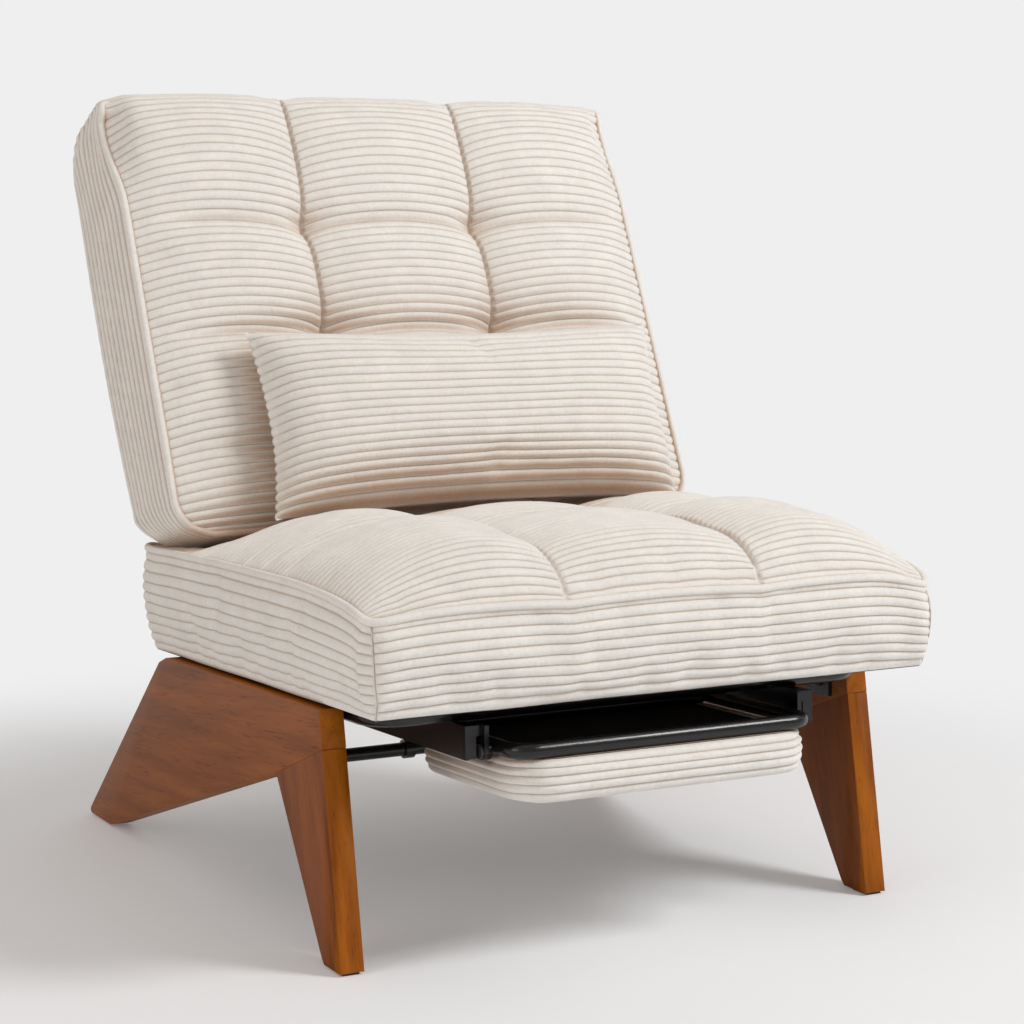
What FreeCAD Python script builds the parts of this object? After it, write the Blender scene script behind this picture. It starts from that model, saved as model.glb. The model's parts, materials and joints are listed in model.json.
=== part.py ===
import FreeCAD, Part
import Sketcher
import math
import os
import re
from FreeCAD import Placement, Rotation, Vector

# A low lounge chair with two A-shaped wooden side frames, a tufted seat and back,
# a ratchet hinge behind the seat, and a padded footrest on slides under the seat.
# Lengths are in millimetres and angles in degrees. X runs across the chair, Y to the
# rear and Z up. Places along Y are measured from the tip of the front foot, and the
# whole chair is then moved so that its origin lies under the middle of its outline.

values = {
    # wooden side frames
    "frameWidth": 660, "boardThick": 26, "toeToOrigin": 347.15,
    "glideHigh": 2.5, "glideWide": 18, "glideLength": 26, "glideInset": 4,
    "footLength": 43, "footBevel": 5,
    "topFrontY": 48, "topFrontZ": 260, "topLength": 439, "seatTilt": 2.09,
    "forkY": 162, "forkZ": 174, "jointZ": 221,
    "shoulderY": 511, "shoulderZ": 235, "topRearRound": 14,
    "rearFootFront": 697, "rearFootBack": 780, "heelRound": 4,
    # round bar between the side frames
    "stretcherY": 386, "stretcherZ": 131, "stretcherRadius": 8,
    "stretcherSocket": 12, "collarX": 66, "collarWide": 12, "collarThick": 3,
    # tube frame of the seat, in the seat's own tilted frame
    "tubeRadius": 10, "tubeWall": 1.5, "frameBend": 35,
    "frameFront": -43, "frameEnd": 450, "tubeLevel": -7.5,
    "rearTubePlace": 430, "plugProud": 2, "plugDeep": 12,
    "slatWide": 58, "slatThick": 9, "slatFirst": 30, "slatPitch": 88, "slatCount": 5,
    "tabWide": 30, "tabReach": 22, "tabThick": 3,
    "fit": 0.2, "runningFit": 0.05, "softGap": 0.3,
    # plates that screw the seat frame to the boards
    "bracketThick": 4.8, "bracketLength": 44, "bracketDrop": 46, "bracketFront": 24,
    "bracketRear": 330, "boltLevel": 30, "boltRadius": 4, "boltHeadRadius": 7.5, "boltHeadHigh": 5,
    "boltDeep": 16,
    # slides under the seat frame
    "slideOuter": 207, "slideWide": 14, "slideHigh": 34, "slideWall": 1.6,
    "slideFront": -72, "slideLength": 430, "slideTravel": 300,
    "slideBeamPlace": 300, "slideBeamWide": 24,
    # sliding bars of the footrest, each with a front flange and a lug
    "barWide": 10, "barOverlap": 92, "barPlay": 0.3,
    "flangeThick": 4, "flangeDrop": 10, "flangeFoot": 4, "flangeRound": 14,
    "flangeReach": 23.1,
    "lugThick": 5, "lugRadius": 9, "crossPlace": 262, "crossRadius": 7.5,
    # footrest
    "flipPlace": -74, "flipLevel": -44.5, "flipPinRadius": 4, "flipPinHead": 7.5,
    "flipPinHeadHigh": 3, "earThick": 3.2, "earBack": 45, "earHigh": 12,
    "loopRadius": 8, "loopBend": 22,
    "loopFront": -121, "loopEnd": 94, "loopRearPlace": 76, "loopLevel": -40.5,
    "padFront": -130, "padLength": 240, "padThick": 45, "padCorner": 26,
    "cornerSteps": 4,
    "boardInset": 16, "restBoardThick": 8,
    # seat cushion, in the seat's tilted frame
    "seatBulge": 8, "seatFootInset": 4, "seatFront": -123,
    "seatRear": 504, "seatBase": 2.8, "seatSeam": 112,
    "seatHigh": 180.8, "crownSteps": 6, "sideSteps": 3,
    # hinges at the rear of the seat
    "pivotY": 570, "pivotZ": 266, "hingeInset": 26.7, "hingeThick": 5, "hingeGap": 0.5,
    "bossRadius": 16, "sectorRadius": 30, "hingePlateLow": 30, "hingePlateFront": 412,
    "hingePinRadius": 5, "hingePinHead": 9, "hingePinHeadHigh": 3,
    "notchDeep": 4, "notchPitch": 12, "notchCount": 6, "notchFirst": 79,
    "notchRampShare": 0.75,
    "sectorStart": 96, "sectorEnd": -6,
    # backrest, in its own leaning frame
    "backY": 466, "backZ": 485, "backLean": 24.34, "backProud": 4, "backSeam": 113,
    "backBottom": -100, "backTop": 456, "backThick": 150, "backCrown": 30,
    "backSideBulge": 3,
    "recessPlay": 5, "recessLow": -20, "recessHigh": 404, "recessFloor": 116,
    "backTubeLevel": 130, "backTubeTop": 386, "backTubeLow": 8,
    "backRailPlace": 42, "panelLow": 26, "panelThick": 4, "panelEdge": 148, "panelBow": 12,
    "backSlatWide": 46, "backSlatThick": 6, "backSlatFirst": 120, "backSlatPitch": 91,
    "backSlatCount": 3,
    "armThick": 5, "armHalf": 13, "armTop": 89, "armOut": 172, "armBendLow": -30,
    "armBendHigh": -14, "armSkin": 147, "armDeep": 122, "armDeepLow": -6,
    "armBack": 140, "armBackLow": 20,
    # pawl of the ratchet, placed by radius from the pivot
    "pawlAngle": 15.5, "pawlGap": 0.4, "pawlPinRadius": 3, "pawlPinOut": 49,
    "pawlPinSide": 9, "pawlPinProud": 1.5, "pawlNose": 4,
    "pawlRise": 7, "pawlEye": 7, "pawlTail": 18, "pawlTailThick": 5,
    "springThick": 1, "springWide": 4, "springFoot": 10, "springLeg": 28,
    # lumbar pillow, in the backrest's frame
    "pillowCentre": 28, "pillowHalf": 262, "pillowLow": -101, "pillowHigh": 116,
    "pillowEdge": -62, "pillowFrontBulge": 58, "pillowRearBulge": 31, "pillowLip": 5,
    "pillowBow": 6, "pillowSteps": 6,
}

doc = FreeCAD.newDocument("Recliner")
sheet = doc.addObject("Spreadsheet::Sheet", "sizes")
for row, (alias, number) in enumerate(values.items(), 1):
    sheet.set(f"A{row}", alias)
    sheet.set(f"B{row}", str(number))
    sheet.setAlias(f"B{row}", alias)
doc.recompute()

size = {alias: float(sheet.get(alias)) for alias in values}
nodes = {}


def bind(text):
    # put the sheet's name before each of its aliases in an expression
    return re.sub(r"[A-Za-z]\w*",
                  lambda word: "sizes." + word.group() if word.group() in values else word.group(),
                  text)


def value(text):
    return float(sheet.evalExpression(bind(text)))


# half widths that follow from the chair's width and from what each piece sits between
boardInner = "(frameWidth / 2 - boardThick)"
frameHalf = f"({boardInner} - bracketThick - fit - tubeRadius)"
hingeX = f"({frameHalf} - hingeInset)"
backTubeHalf = f"({hingeX} - hingeGap + fit + tubeRadius)"
recessHalf = f"({backTubeHalf} + tubeRadius + recessPlay)"
loopHalf = "(slideOuter - flangeReach - hingeGap - earThick - fit - loopRadius)"
seatHalf = "(frameWidth / 2)"
backHalf = "(frameWidth / 2 + backProud)"

# where the three groups of pieces stand: the chair, the tilted seat, the leaning back
across = Vector(1, 0, 0)
chairPose = Placement(Vector(0, -size["toeToOrigin"], 0), Rotation())
seatPose = chairPose * Placement(Vector(0, size["topFrontY"], size["topFrontZ"]),
                                 Rotation(across, -size["seatTilt"]))
backPose = chairPose * Placement(Vector(0, size["backY"], size["backZ"]),
                                 Rotation(across, -size["backLean"]))

# the hinge pivot as seen from the seat and from the backrest
pivotPlace = ("((pivotY - topFrontY) * cos(seatTilt) - (pivotZ - topFrontZ) * sin(seatTilt))")
pivotLevel = ("((pivotY - topFrontY) * sin(seatTilt) + (pivotZ - topFrontZ) * cos(seatTilt))")
pivotBehind = "((pivotY - backY) * cos(backLean) - (pivotZ - backZ) * sin(backLean))"
pivotAlong = "((pivotY - backY) * sin(backLean) + (pivotZ - backZ) * cos(backLean))"


def newBody(label, pose):
    body = doc.addObject("PartDesign::Body", label)
    body.Placement = pose
    nodes[label] = body
    return body


def newSketch(body, role, name, lift="0", centre=None):
    sketch = body.newObject("Sketcher::SketchObject", name)
    plane = next(f for f in body.Origin.OriginFeatures if f.Role == role)
    sketch.AttachmentSupport = [(plane, "")]
    sketch.MapMode = "FlatFace"
    sketch.setExpression("AttachmentOffset.Base.z", bind(lift))
    if centre:
        sketch.setExpression("AttachmentOffset.Base.x", bind(centre[0]))
        sketch.setExpression("AttachmentOffset.Base.y", bind(centre[1]))
    return sketch


def dimension(sketch, kind, places, text):
    number = sketch.addConstraint(Sketcher.Constraint(kind, *places, value(text)))
    name = f"dim{number}"
    sketch.renameConstraint(number, name)
    sketch.setExpression("Constraints." + name, bind(text))


def pin(sketch, geometry, point, place):
    dimension(sketch, "DistanceX", (-1, 1, geometry, point), place[0])
    dimension(sketch, "DistanceY", (-1, 1, geometry, point), place[1])


def drawOutline(sketch, corners, closed=True):
    # straight runs through the corners; a corner's third entry is its rounding
    spots = [Vector(value(c[0]), value(c[1]), 0) for c in corners]
    count = len(corners)
    runs = count if closed else count - 1
    starts, ends, arcs = {}, {}, {}
    joints = []
    for i, corner in enumerate(corners):
        before = (i - 1) % count if closed or i > 0 else None
        after = i if i < runs else None
        joints.append((before, after))
        if before is not None:
            ends[before] = spots[i]
        if after is not None:
            starts[after] = spots[i]
        if len(corner) == 3:
            radius = value(corner[2])
            back = (spots[i - 1] - spots[i]).normalize()
            ahead = (spots[(i + 1) % count] - spots[i]).normalize()
            half = back.getAngle(ahead) / 2
            ends[before] = spots[i] + back * (radius / math.tan(half))
            starts[after] = spots[i] + ahead * (radius / math.tan(half))
            middle = spots[i] + (back + ahead).normalize() * (radius / math.sin(half))
            turns = [math.atan2(end.y - middle.y, end.x - middle.x)
                     for end in (ends[before], starts[after])]
            leftTurn = back.cross(ahead).z < 0
            circle = Part.Circle(middle, Vector(0, 0, 1), radius)
            arcs[i] = (Part.ArcOfCircle(circle, *(turns if leftTurn else turns[::-1])),
                       1 if leftTurn else 2)
    lines = [sketch.addGeometry(Part.LineSegment(starts[i], ends[i]), False)
             for i in range(runs)]
    for i, (before, after) in enumerate(joints):
        corner = corners[i]
        if before is None:
            pin(sketch, lines[after], 1, corner)
        elif after is None:
            pin(sketch, lines[before], 2, corner)
        elif i not in arcs:
            sketch.addConstraint(
                Sketcher.Constraint("Coincident", lines[before], 2, lines[after], 1))
            pin(sketch, lines[after], 1, corner)
        else:
            shape, first = arcs[i]
            arc = sketch.addGeometry(shape, False)
            point = sketch.addGeometry(Part.Point(spots[i]), True)
            for constraint in (("Tangent", lines[before], 2, arc, first),
                               ("Tangent", arc, 3 - first, lines[after], 1),
                               ("PointOnObject", point, 1, lines[before]),
                               ("PointOnObject", point, 1, lines[after])):
                sketch.addConstraint(Sketcher.Constraint(*constraint))
            dimension(sketch, "Radius", (arc,), corner[2])
            pin(sketch, point, 1, corner)


def drawCircle(sketch, place, radius):
    circle = Part.Circle(Vector(value(place[0]), value(place[1]), 0), Vector(0, 0, 1),
                         value(radius))
    index = sketch.addGeometry(circle, False)
    pin(sketch, index, 3, place)
    dimension(sketch, "Radius", (index,), radius)


def pad(body, sketch, length, name="pad"):
    feature = body.newObject("PartDesign::Pad", name)
    feature.Profile = sketch
    feature.setExpression("Length", bind(length))
    doc.recompute()
    return feature


def pocket(body, sketch, depth, towardNormal=False, name="pocket"):
    before = body.Shape.Volume
    feature = body.newObject("PartDesign::Pocket", name)
    feature.Profile = sketch
    feature.Reversed = towardNormal
    feature.setExpression("Length", bind(depth))
    doc.recompute()
    if not body.Shape.Volume < before:
        raise RuntimeError(f"{name} in {body.Label} cuts nothing")
    return feature


def plateAcross(label, pose, start, thick, corners):
    # a plate that stands in the YZ plane, from X = start towards +X
    body = newBody(label, pose)
    sketch = newSketch(body, "YZ_Plane", "outline", start)
    drawOutline(sketch, corners)
    pad(body, sketch, thick)
    return body


def slabUp(label, pose, low, thick, corners):
    # a flat slab in the XY plane, from Z = low upwards
    body = newBody(label, pose)
    sketch = newSketch(body, "XY_Plane", "outline", low)
    drawOutline(sketch, corners)
    pad(body, sketch, thick)
    return body


def rectangle(x0, x1, y0, y1, rounding=None):
    tail = (rounding,) if rounding else ()
    return [(x0, y0) + tail, (x1, y0) + tail, (x1, y1) + tail, (x0, y1) + tail]


def roundBar(label, pose, halfLength, place, level, radius):
    # a round bar, or a tube whose ends are closed by what it is welded to, along X
    body = newBody(label, pose)
    sketch = newSketch(body, "YZ_Plane", "section", f"-({halfLength})")
    drawCircle(sketch, (place, level), radius)
    pad(body, sketch, f"2 * ({halfLength})")
    return body


def bentTube(label, pose, lying, half, front, end, bend, radius, level):
    # a U of round tube: a run across X with two legs, lying flat or standing up, with
    # bent corners, or mitred ones where it has no bend
    body = newBody(label, pose)
    if lying:
        path = newSketch(body, "XY_Plane", "path", level)
        section = newSketch(body, "XZ_Plane", "section", f"-({end})")
    else:
        path = newSketch(body, "XZ_Plane", "path", f"-({level})")
        section = newSketch(body, "XY_Plane", "section", end)
    turn = (bend,) if bend else ()
    drawOutline(path, [(f"-({half})", end), (f"-({half})", front) + turn,
                       (half, front) + turn, (half, end)], closed=False)
    drawCircle(section, (f"-({half})", level), radius)
    doc.recompute()
    pipe = body.newObject("PartDesign::AdditivePipe", "pipe")
    pipe.Profile = section
    pipe.Spine = (path, [f"Edge{i + 1}" for i in range(len(path.Shape.Edges))])
    pipe.Transition = "Transformed" if bend else "Right corner"
    doc.recompute()
    return body


def solidNode(label, pose, shape):
    node = doc.addObject("Part::Feature", label)
    node.Shape = shape
    node.Placement = pose
    nodes[label] = node
    return node


def rod(x0, x1, place, level, radius):
    # a round bar along X between two places
    low = min(x0, x1)
    return Part.makeCylinder(radius, abs(x1 - x0), Vector(low, place, level), across)


sides = {"left": -1, "right": 1}


def fromSide(side, near, thick):
    # the lower X of a plate whose face nearest the middle is at X = near
    return f"({near})" if side == "right" else f"(-({near}) - ({thick}))"


# the bolts of the front and rear brackets, midway along each plate
boltPlaces = ["(bracketFront + bracketLength / 2)", "(bracketRear + bracketLength / 2)"]

# wooden side frames: a front leg glued under the front of a swept board
jointY = "(topFrontY * jointZ / topFrontZ)"
topRearY = "(topFrontY + topLength * cos(seatTilt))"
topRearZ = "(topFrontZ - topLength * sin(seatTilt))"
for side in sides:
    start = fromSide(side, boardInner, "boardThick")
    leg = plateAcross(f"{side}_front_leg", chairPose, start, "boardThick", [
        ("topFrontY * glideHigh / topFrontZ", "glideHigh"),
        ("footLength", "glideHigh"),
        ("footLength + footBevel", "glideHigh + footBevel"),
        ("forkY", "forkZ"),
        (jointY, "jointZ")])
    board = plateAcross(f"{side}_side_board", chairPose, start, "boardThick", [
        (jointY, "jointZ"),
        ("forkY", "forkZ"),
        ("rearFootFront", "glideHigh"),
        ("rearFootBack", "glideHigh", "heelRound"),
        ("shoulderY", "shoulderZ", "topRearRound / 2"),
        (topRearY, topRearZ, "topRearRound"),
        ("topFrontY", "topFrontZ")])
    innerLift = boardInner if side == "right" else f"-{boardInner}"
    holes = newSketch(board, "YZ_Plane", "boltHoles", innerLift)
    for place in boltPlaces:
        drawCircle(holes, (f"topFrontY + {place} * cos(seatTilt) - boltLevel * sin(seatTilt)",
                           f"topFrontZ - {place} * sin(seatTilt) - boltLevel * cos(seatTilt)"),
                   "boltRadius + runningFit")
    pocket(board, holes, "boltDeep + fit", side == "right", "boltHoles")
    socket = newSketch(board, "YZ_Plane", "socket", innerLift)
    drawCircle(socket, ("stretcherY", "stretcherZ"), "stretcherRadius + runningFit")
    pocket(board, socket, "stretcherSocket + fit", side == "right", "stretcherSocket")

# flat pads under the four feet
footPlaces = {"front": "glideInset", "rear": "(rearFootFront + rearFootBack - glideLength) / 2"}
for side, sign in sides.items():
    middle = f"({sign} * (frameWidth - boardThick) / 2)"
    for name, place in footPlaces.items():
        slabUp(f"{side}_{name}_glide", chairPose, "0", "glideHigh",
               rectangle(f"{middle} - glideWide / 2", f"{middle} + glideWide / 2", place,
                         f"{place} + glideLength"))

# round bar that ties the side frames, with two collars on it
bar = roundBar("stretcher_bar", chairPose, f"{boardInner} + stretcherSocket",
               "stretcherY", "stretcherZ", "stretcherRadius")
for side in sides:
    sketch = newSketch(bar, "YZ_Plane", "collar", fromSide(side, "collarX", "collarWide"))
    drawCircle(sketch, ("stretcherY", "stretcherZ"), "stretcherRadius + collarThick")
    pad(bar, sketch, "collarWide", "collar")

# tube frame of the seat with its rear tube, slats and the tabs that carry them
tube = bentTube("seat_frame_tube", seatPose, True, frameHalf, "frameFront", "frameEnd",
                "frameBend", "tubeRadius", "tubeLevel")
bores = newSketch(tube, "XZ_Plane", "endBores", "-frameEnd")
for sign in sides.values():
    drawCircle(bores, (f"{sign} * {frameHalf}", "tubeLevel"), "tubeRadius - tubeWall")
pocket(tube, bores, "plugDeep + fit", True, "endBores")
roundBar("seat_rear_tube", seatPose, f"{frameHalf} - tubeRadius - fit",
         "rearTubePlace", "tubeLevel", "tubeRadius")
slatTop = "(tubeLevel + tubeRadius)"
slatHalf = f"({frameHalf} - tubeRadius - fit)"
for number in range(int(size["slatCount"])):
    place = f"(slatFirst + {number} * slatPitch)"
    slabUp(f"seat_slat_{number + 1}", seatPose, f"{slatTop} - slatThick", "slatThick",
           rectangle(f"-{slatHalf}", slatHalf, f"{place} - slatWide / 2",
                     f"{place} + slatWide / 2"))
slatUnder = size["tubeLevel"] + size["tubeRadius"] - size["slatThick"]
tabs = []
for number in range(int(size["slatCount"])):
    for sign in sides.values():
        inner = value(frameHalf) - size["tubeRadius"] - size["fit"] - size["tabReach"]
        low = inner if sign > 0 else -inner - size["tabReach"]
        place = size["slatFirst"] + number * size["slatPitch"] - size["tabWide"] / 2
        tabs.append(Part.makeBox(size["tabReach"], size["tabWide"], size["tabThick"],
                                 Vector(low, place, slatUnder - size["tabThick"])))
solidNode("slat_tabs", seatPose, Part.makeCompound(tabs))

# flat beam under the slats that carries the rear of both slides
slideTop = "(tubeLevel - tubeRadius - fit)"
slabUp("slide_beam", seatPose, slideTop, "2 * tubeRadius - slatThick - tabThick - fit",
       rectangle(f"-{slatHalf}", slatHalf, "slideBeamPlace - slideBeamWide / 2",
                 "slideBeamPlace + slideBeamWide / 2"))

# plates between the tube frame and the boards, each with a hexagon bolt
plateNear = f"({frameHalf} + tubeRadius + fit)"
for side in sides:
    for name in ("Front", "Rear"):
        plate = plateAcross(f"{side}_{name.lower()}_bracket", seatPose,
                            fromSide(side, plateNear, "bracketThick"), "bracketThick",
                            rectangle(f"bracket{name}", f"bracket{name} + bracketLength",
                                      "-bracketDrop", f"{slatTop} - fit"))
        hole = newSketch(plate, "YZ_Plane", "boltHole",
                         fromSide(side, plateNear, "bracketThick"))
        drawCircle(hole, (f"bracket{name} + bracketLength / 2", "-boltLevel"),
                   "boltRadius + runningFit")
        pocket(plate, hole, "bracketThick", True, "boltHole")
bolts = []
plateFace = value(plateNear)
for sign in sides.values():
    for place in boltPlaces:
        axis = Vector(sign * plateFace, value(place), -size["boltLevel"])
        shank = Part.makeCylinder(size["boltRadius"],
                                  size["bracketThick"] + size["boltDeep"], axis, across * sign)
        corner = Vector(0, size["boltHeadRadius"], 0)
        ring = [axis + Rotation(across, 360 * turn / 6).multVec(corner) for turn in range(7)]
        head = Part.Face(Part.makePolygon(ring)).extrude(across * (-sign * size["boltHeadHigh"]))
        bolts.append(head.fuse(shank).removeSplitter())
solidNode("bracket_bolts", seatPose, Part.makeCompound(bolts))

# fixed slides: channels open towards the middle, welded under the seat frame
slideLow = f"({slideTop} - slideHigh)"
for side in sides:
    sign = sides[side]
    channel = newBody(f"{side}_slide_channel", seatPose)
    sketch = newSketch(channel, "XZ_Plane", "section", "-slideFront - slideLength")
    web, lip = f"{sign} * slideOuter", f"{sign} * (slideOuter - slideWide)"
    webIn = f"{sign} * (slideOuter - slideWall)"
    drawOutline(sketch, [(web, slideLow), (web, slideTop), (lip, slideTop),
                         (lip, f"{slideTop} - slideWall"),
                         (webIn, f"{slideTop} - slideWall"),
                         (webIn, f"{slideLow} + slideWall"),
                         (lip, f"{slideLow} + slideWall"), (lip, slideLow)])
    pad(channel, sketch, "slideLength")

# sliding bars, each with a flange in front of its channel and a lug for the footrest
barTop = f"({slideTop} - slideWall - barPlay)"
barLow = f"({slideLow} + slideWall + barPlay)"
barOut = "(slideOuter - slideWall - barPlay)"
barIn = f"({barOut} - barWide)"
earNear = f"({loopHalf} + loopRadius + fit)"
lugNear = f"({earNear} + earThick + hingeGap)"
flangeBack = "(slideFront - hingeGap)"
for side, sign in sides.items():
    bar = newBody(f"{side}_slide_bar", seatPose)
    sketch = newSketch(bar, "YZ_Plane", "bar", fromSide(side, barIn, "barWide"))
    drawOutline(sketch, rectangle(f"{flangeBack} - flangeThick",
                                  f"{flangeBack} + slideTravel + barOverlap", barLow, barTop))
    pad(bar, sketch, "barWide", "bar")
    sketch = newSketch(bar, "XZ_Plane", "flange", f"-{flangeBack}")
    drawOutline(sketch, [(f"{sign} * {lugNear}", slideTop),
                         (f"{sign} * slideOuter", slideTop),
                         (f"{sign} * slideOuter", slideLow),
                         (f"{sign} * (slideOuter - flangeFoot)", slideLow),
                         (f"{sign} * (slideOuter - flangeFoot)", f"{slideTop} - flangeDrop",
                          "flangeRound"),
                         (f"{sign} * {lugNear}", f"{slideTop} - flangeDrop")])
    pad(bar, sketch, "flangeThick", "flange")
    lugStart = fromSide(side, lugNear, "lugThick")
    sketch = newSketch(bar, "YZ_Plane", "lug", lugStart)
    drawOutline(sketch, rectangle("flipPlace - lugRadius", "flipPlace + lugRadius",
                                  "flipLevel", slideTop))
    pad(bar, sketch, "lugThick", "lug")
    sketch = newSketch(bar, "YZ_Plane", "lugEnd", lugStart)
    drawCircle(sketch, ("flipPlace", "flipLevel"), "lugRadius")
    pad(bar, sketch, "lugThick", "lugEnd")
    hole = newSketch(bar, "YZ_Plane", "pinHole", lugStart)
    drawCircle(hole, ("flipPlace", "flipLevel"), "flipPinRadius + runningFit")
    pocket(bar, hole, "lugThick", True, "pinHole")
roundBar("slide_cross_tube", seatPose, f"{barIn} - fit", "crossPlace",
         f"({slideTop} + {slideLow}) / 2", "crossRadius")
lugFar = f"({lugNear} + lugThick)"
pins = []
for sign in sides.values():
    shank = rod(sign * value(earNear), sign * value(lugFar), size["flipPlace"],
                size["flipLevel"], size["flipPinRadius"])
    head = rod(sign * value(lugFar), sign * (value(lugFar) + size["flipPinHeadHigh"]),
               size["flipPlace"], size["flipLevel"], size["flipPinHead"])
    pins.append(head.fuse(shank).removeSplitter())
solidNode("footrest_pins", seatPose, Part.makeCompound(pins))

# footrest: tube loop with ears on its legs, board and pad
bentTube("footrest_loop", seatPose, True, loopHalf, "loopFront", "loopEnd", "loopBend",
         "loopRadius", "loopLevel")
roundBar("footrest_rear_rail", seatPose, f"{loopHalf} - loopRadius - fit", "loopRearPlace",
         "loopLevel", "loopRadius")
for side in sides:
    start = fromSide(side, earNear, "earThick")
    ear = plateAcross(f"{side}_footrest_ear", seatPose, start, "earThick",
                      rectangle("flipPlace", "flipPlace + earBack", "flipLevel - earHigh / 2",
                                "flipLevel + earHigh / 2"))
    sketch = newSketch(ear, "YZ_Plane", "boss", start)
    drawCircle(sketch, ("flipPlace", "flipLevel"), "lugRadius")
    pad(ear, sketch, "earThick", "boss")
    hole = newSketch(ear, "YZ_Plane", "pinHole", start)
    drawCircle(hole, ("flipPlace", "flipLevel"), "flipPinRadius + runningFit")
    pocket(ear, hole, "earThick", True, "pinHole")

padTop = "(loopLevel - loopRadius)"
slabUp("footrest_board", seatPose, f"{padTop} - restBoardThick", "restBoardThick",
       rectangle(f"-{loopHalf} + boardInset", f"{loopHalf} - boardInset", "padFront + boardInset",
                 "padFront + padLength - boardInset", "boardInset / 2"))


def bowedRun(start, end, bow, steps):
    # the points from start to short of end, pushed out by up to the bow at the middle
    points = []
    for step in range(int(steps)):
        share = step / steps
        points.append(start + (end - start) * share + bow * (1 - (2 * share - 1) ** 2))
    return points


def facetedLoft(rings):
    # a solid through closed rings of as many points each, with flat facets between them
    faces = [Part.Face(Part.makePolygon(ring + ring[:1])) for ring in (rings[0], rings[-1])]
    for low, high in zip(rings, rings[1:]):
        for i, point in enumerate(low):
            j = (i + 1) % len(low)
            for corners in ((point, low[j], high[j]), (point, high[j], high[i])):
                faces.append(Part.Face(Part.makePolygon([*corners, point])))
    shell = Part.makeShell(faces)
    shell.sewShape()
    solid = Part.makeSolid(shell)
    return solid if solid.Volume > 0 else solid.reversed()


def roundedLoop(half, front, back, level, corner):
    # points round a rectangle with quarter-round corners, level with the XY plane
    steps = int(size["cornerSteps"])
    ring = []
    for quarter, (x, y) in enumerate(((half, back), (-half, back), (-half, front), (half, front))):
        middle = Vector(x - math.copysign(corner, x), y + (corner if quarter > 1 else -corner),
                        level)
        for step in range(steps + 1):
            turn = math.radians(90) * (quarter + step / steps)
            ring.append(middle + Vector(corner * math.cos(turn), corner * math.sin(turn), 0))
    return ring


# share of the pad's thickness from its board side, and how far the sides draw in there
padSectionShares = [(0, 0.1), (0.12, 0), (0.55, 0), (0.86, 0.22), (1, 1)]
padBack = size["padFront"] + size["padLength"]
padLevel = value(padTop) - size["softGap"]
loops = []
for depthShare, insetShare in padSectionShares:
    inset = insetShare * size["padCorner"]
    loops.append(roundedLoop(value(loopHalf) - inset, size["padFront"] + inset / 2,
                             padBack - inset, padLevel - depthShare * size["padThick"],
                             size["padCorner"]))
cushion = facetedLoft(loops)
margin = size["boardInset"] - size["softGap"]
hollow = Part.makeBox(2 * (value(loopHalf) - margin), size["padLength"] - 2 * margin,
                      size["restBoardThick"],
                      Vector(-value(loopHalf) + margin, size["padFront"] + margin,
                             padLevel - size["restBoardThick"]))
solidNode("footrest_pad", seatPose, cushion.cut(hollow))

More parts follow.
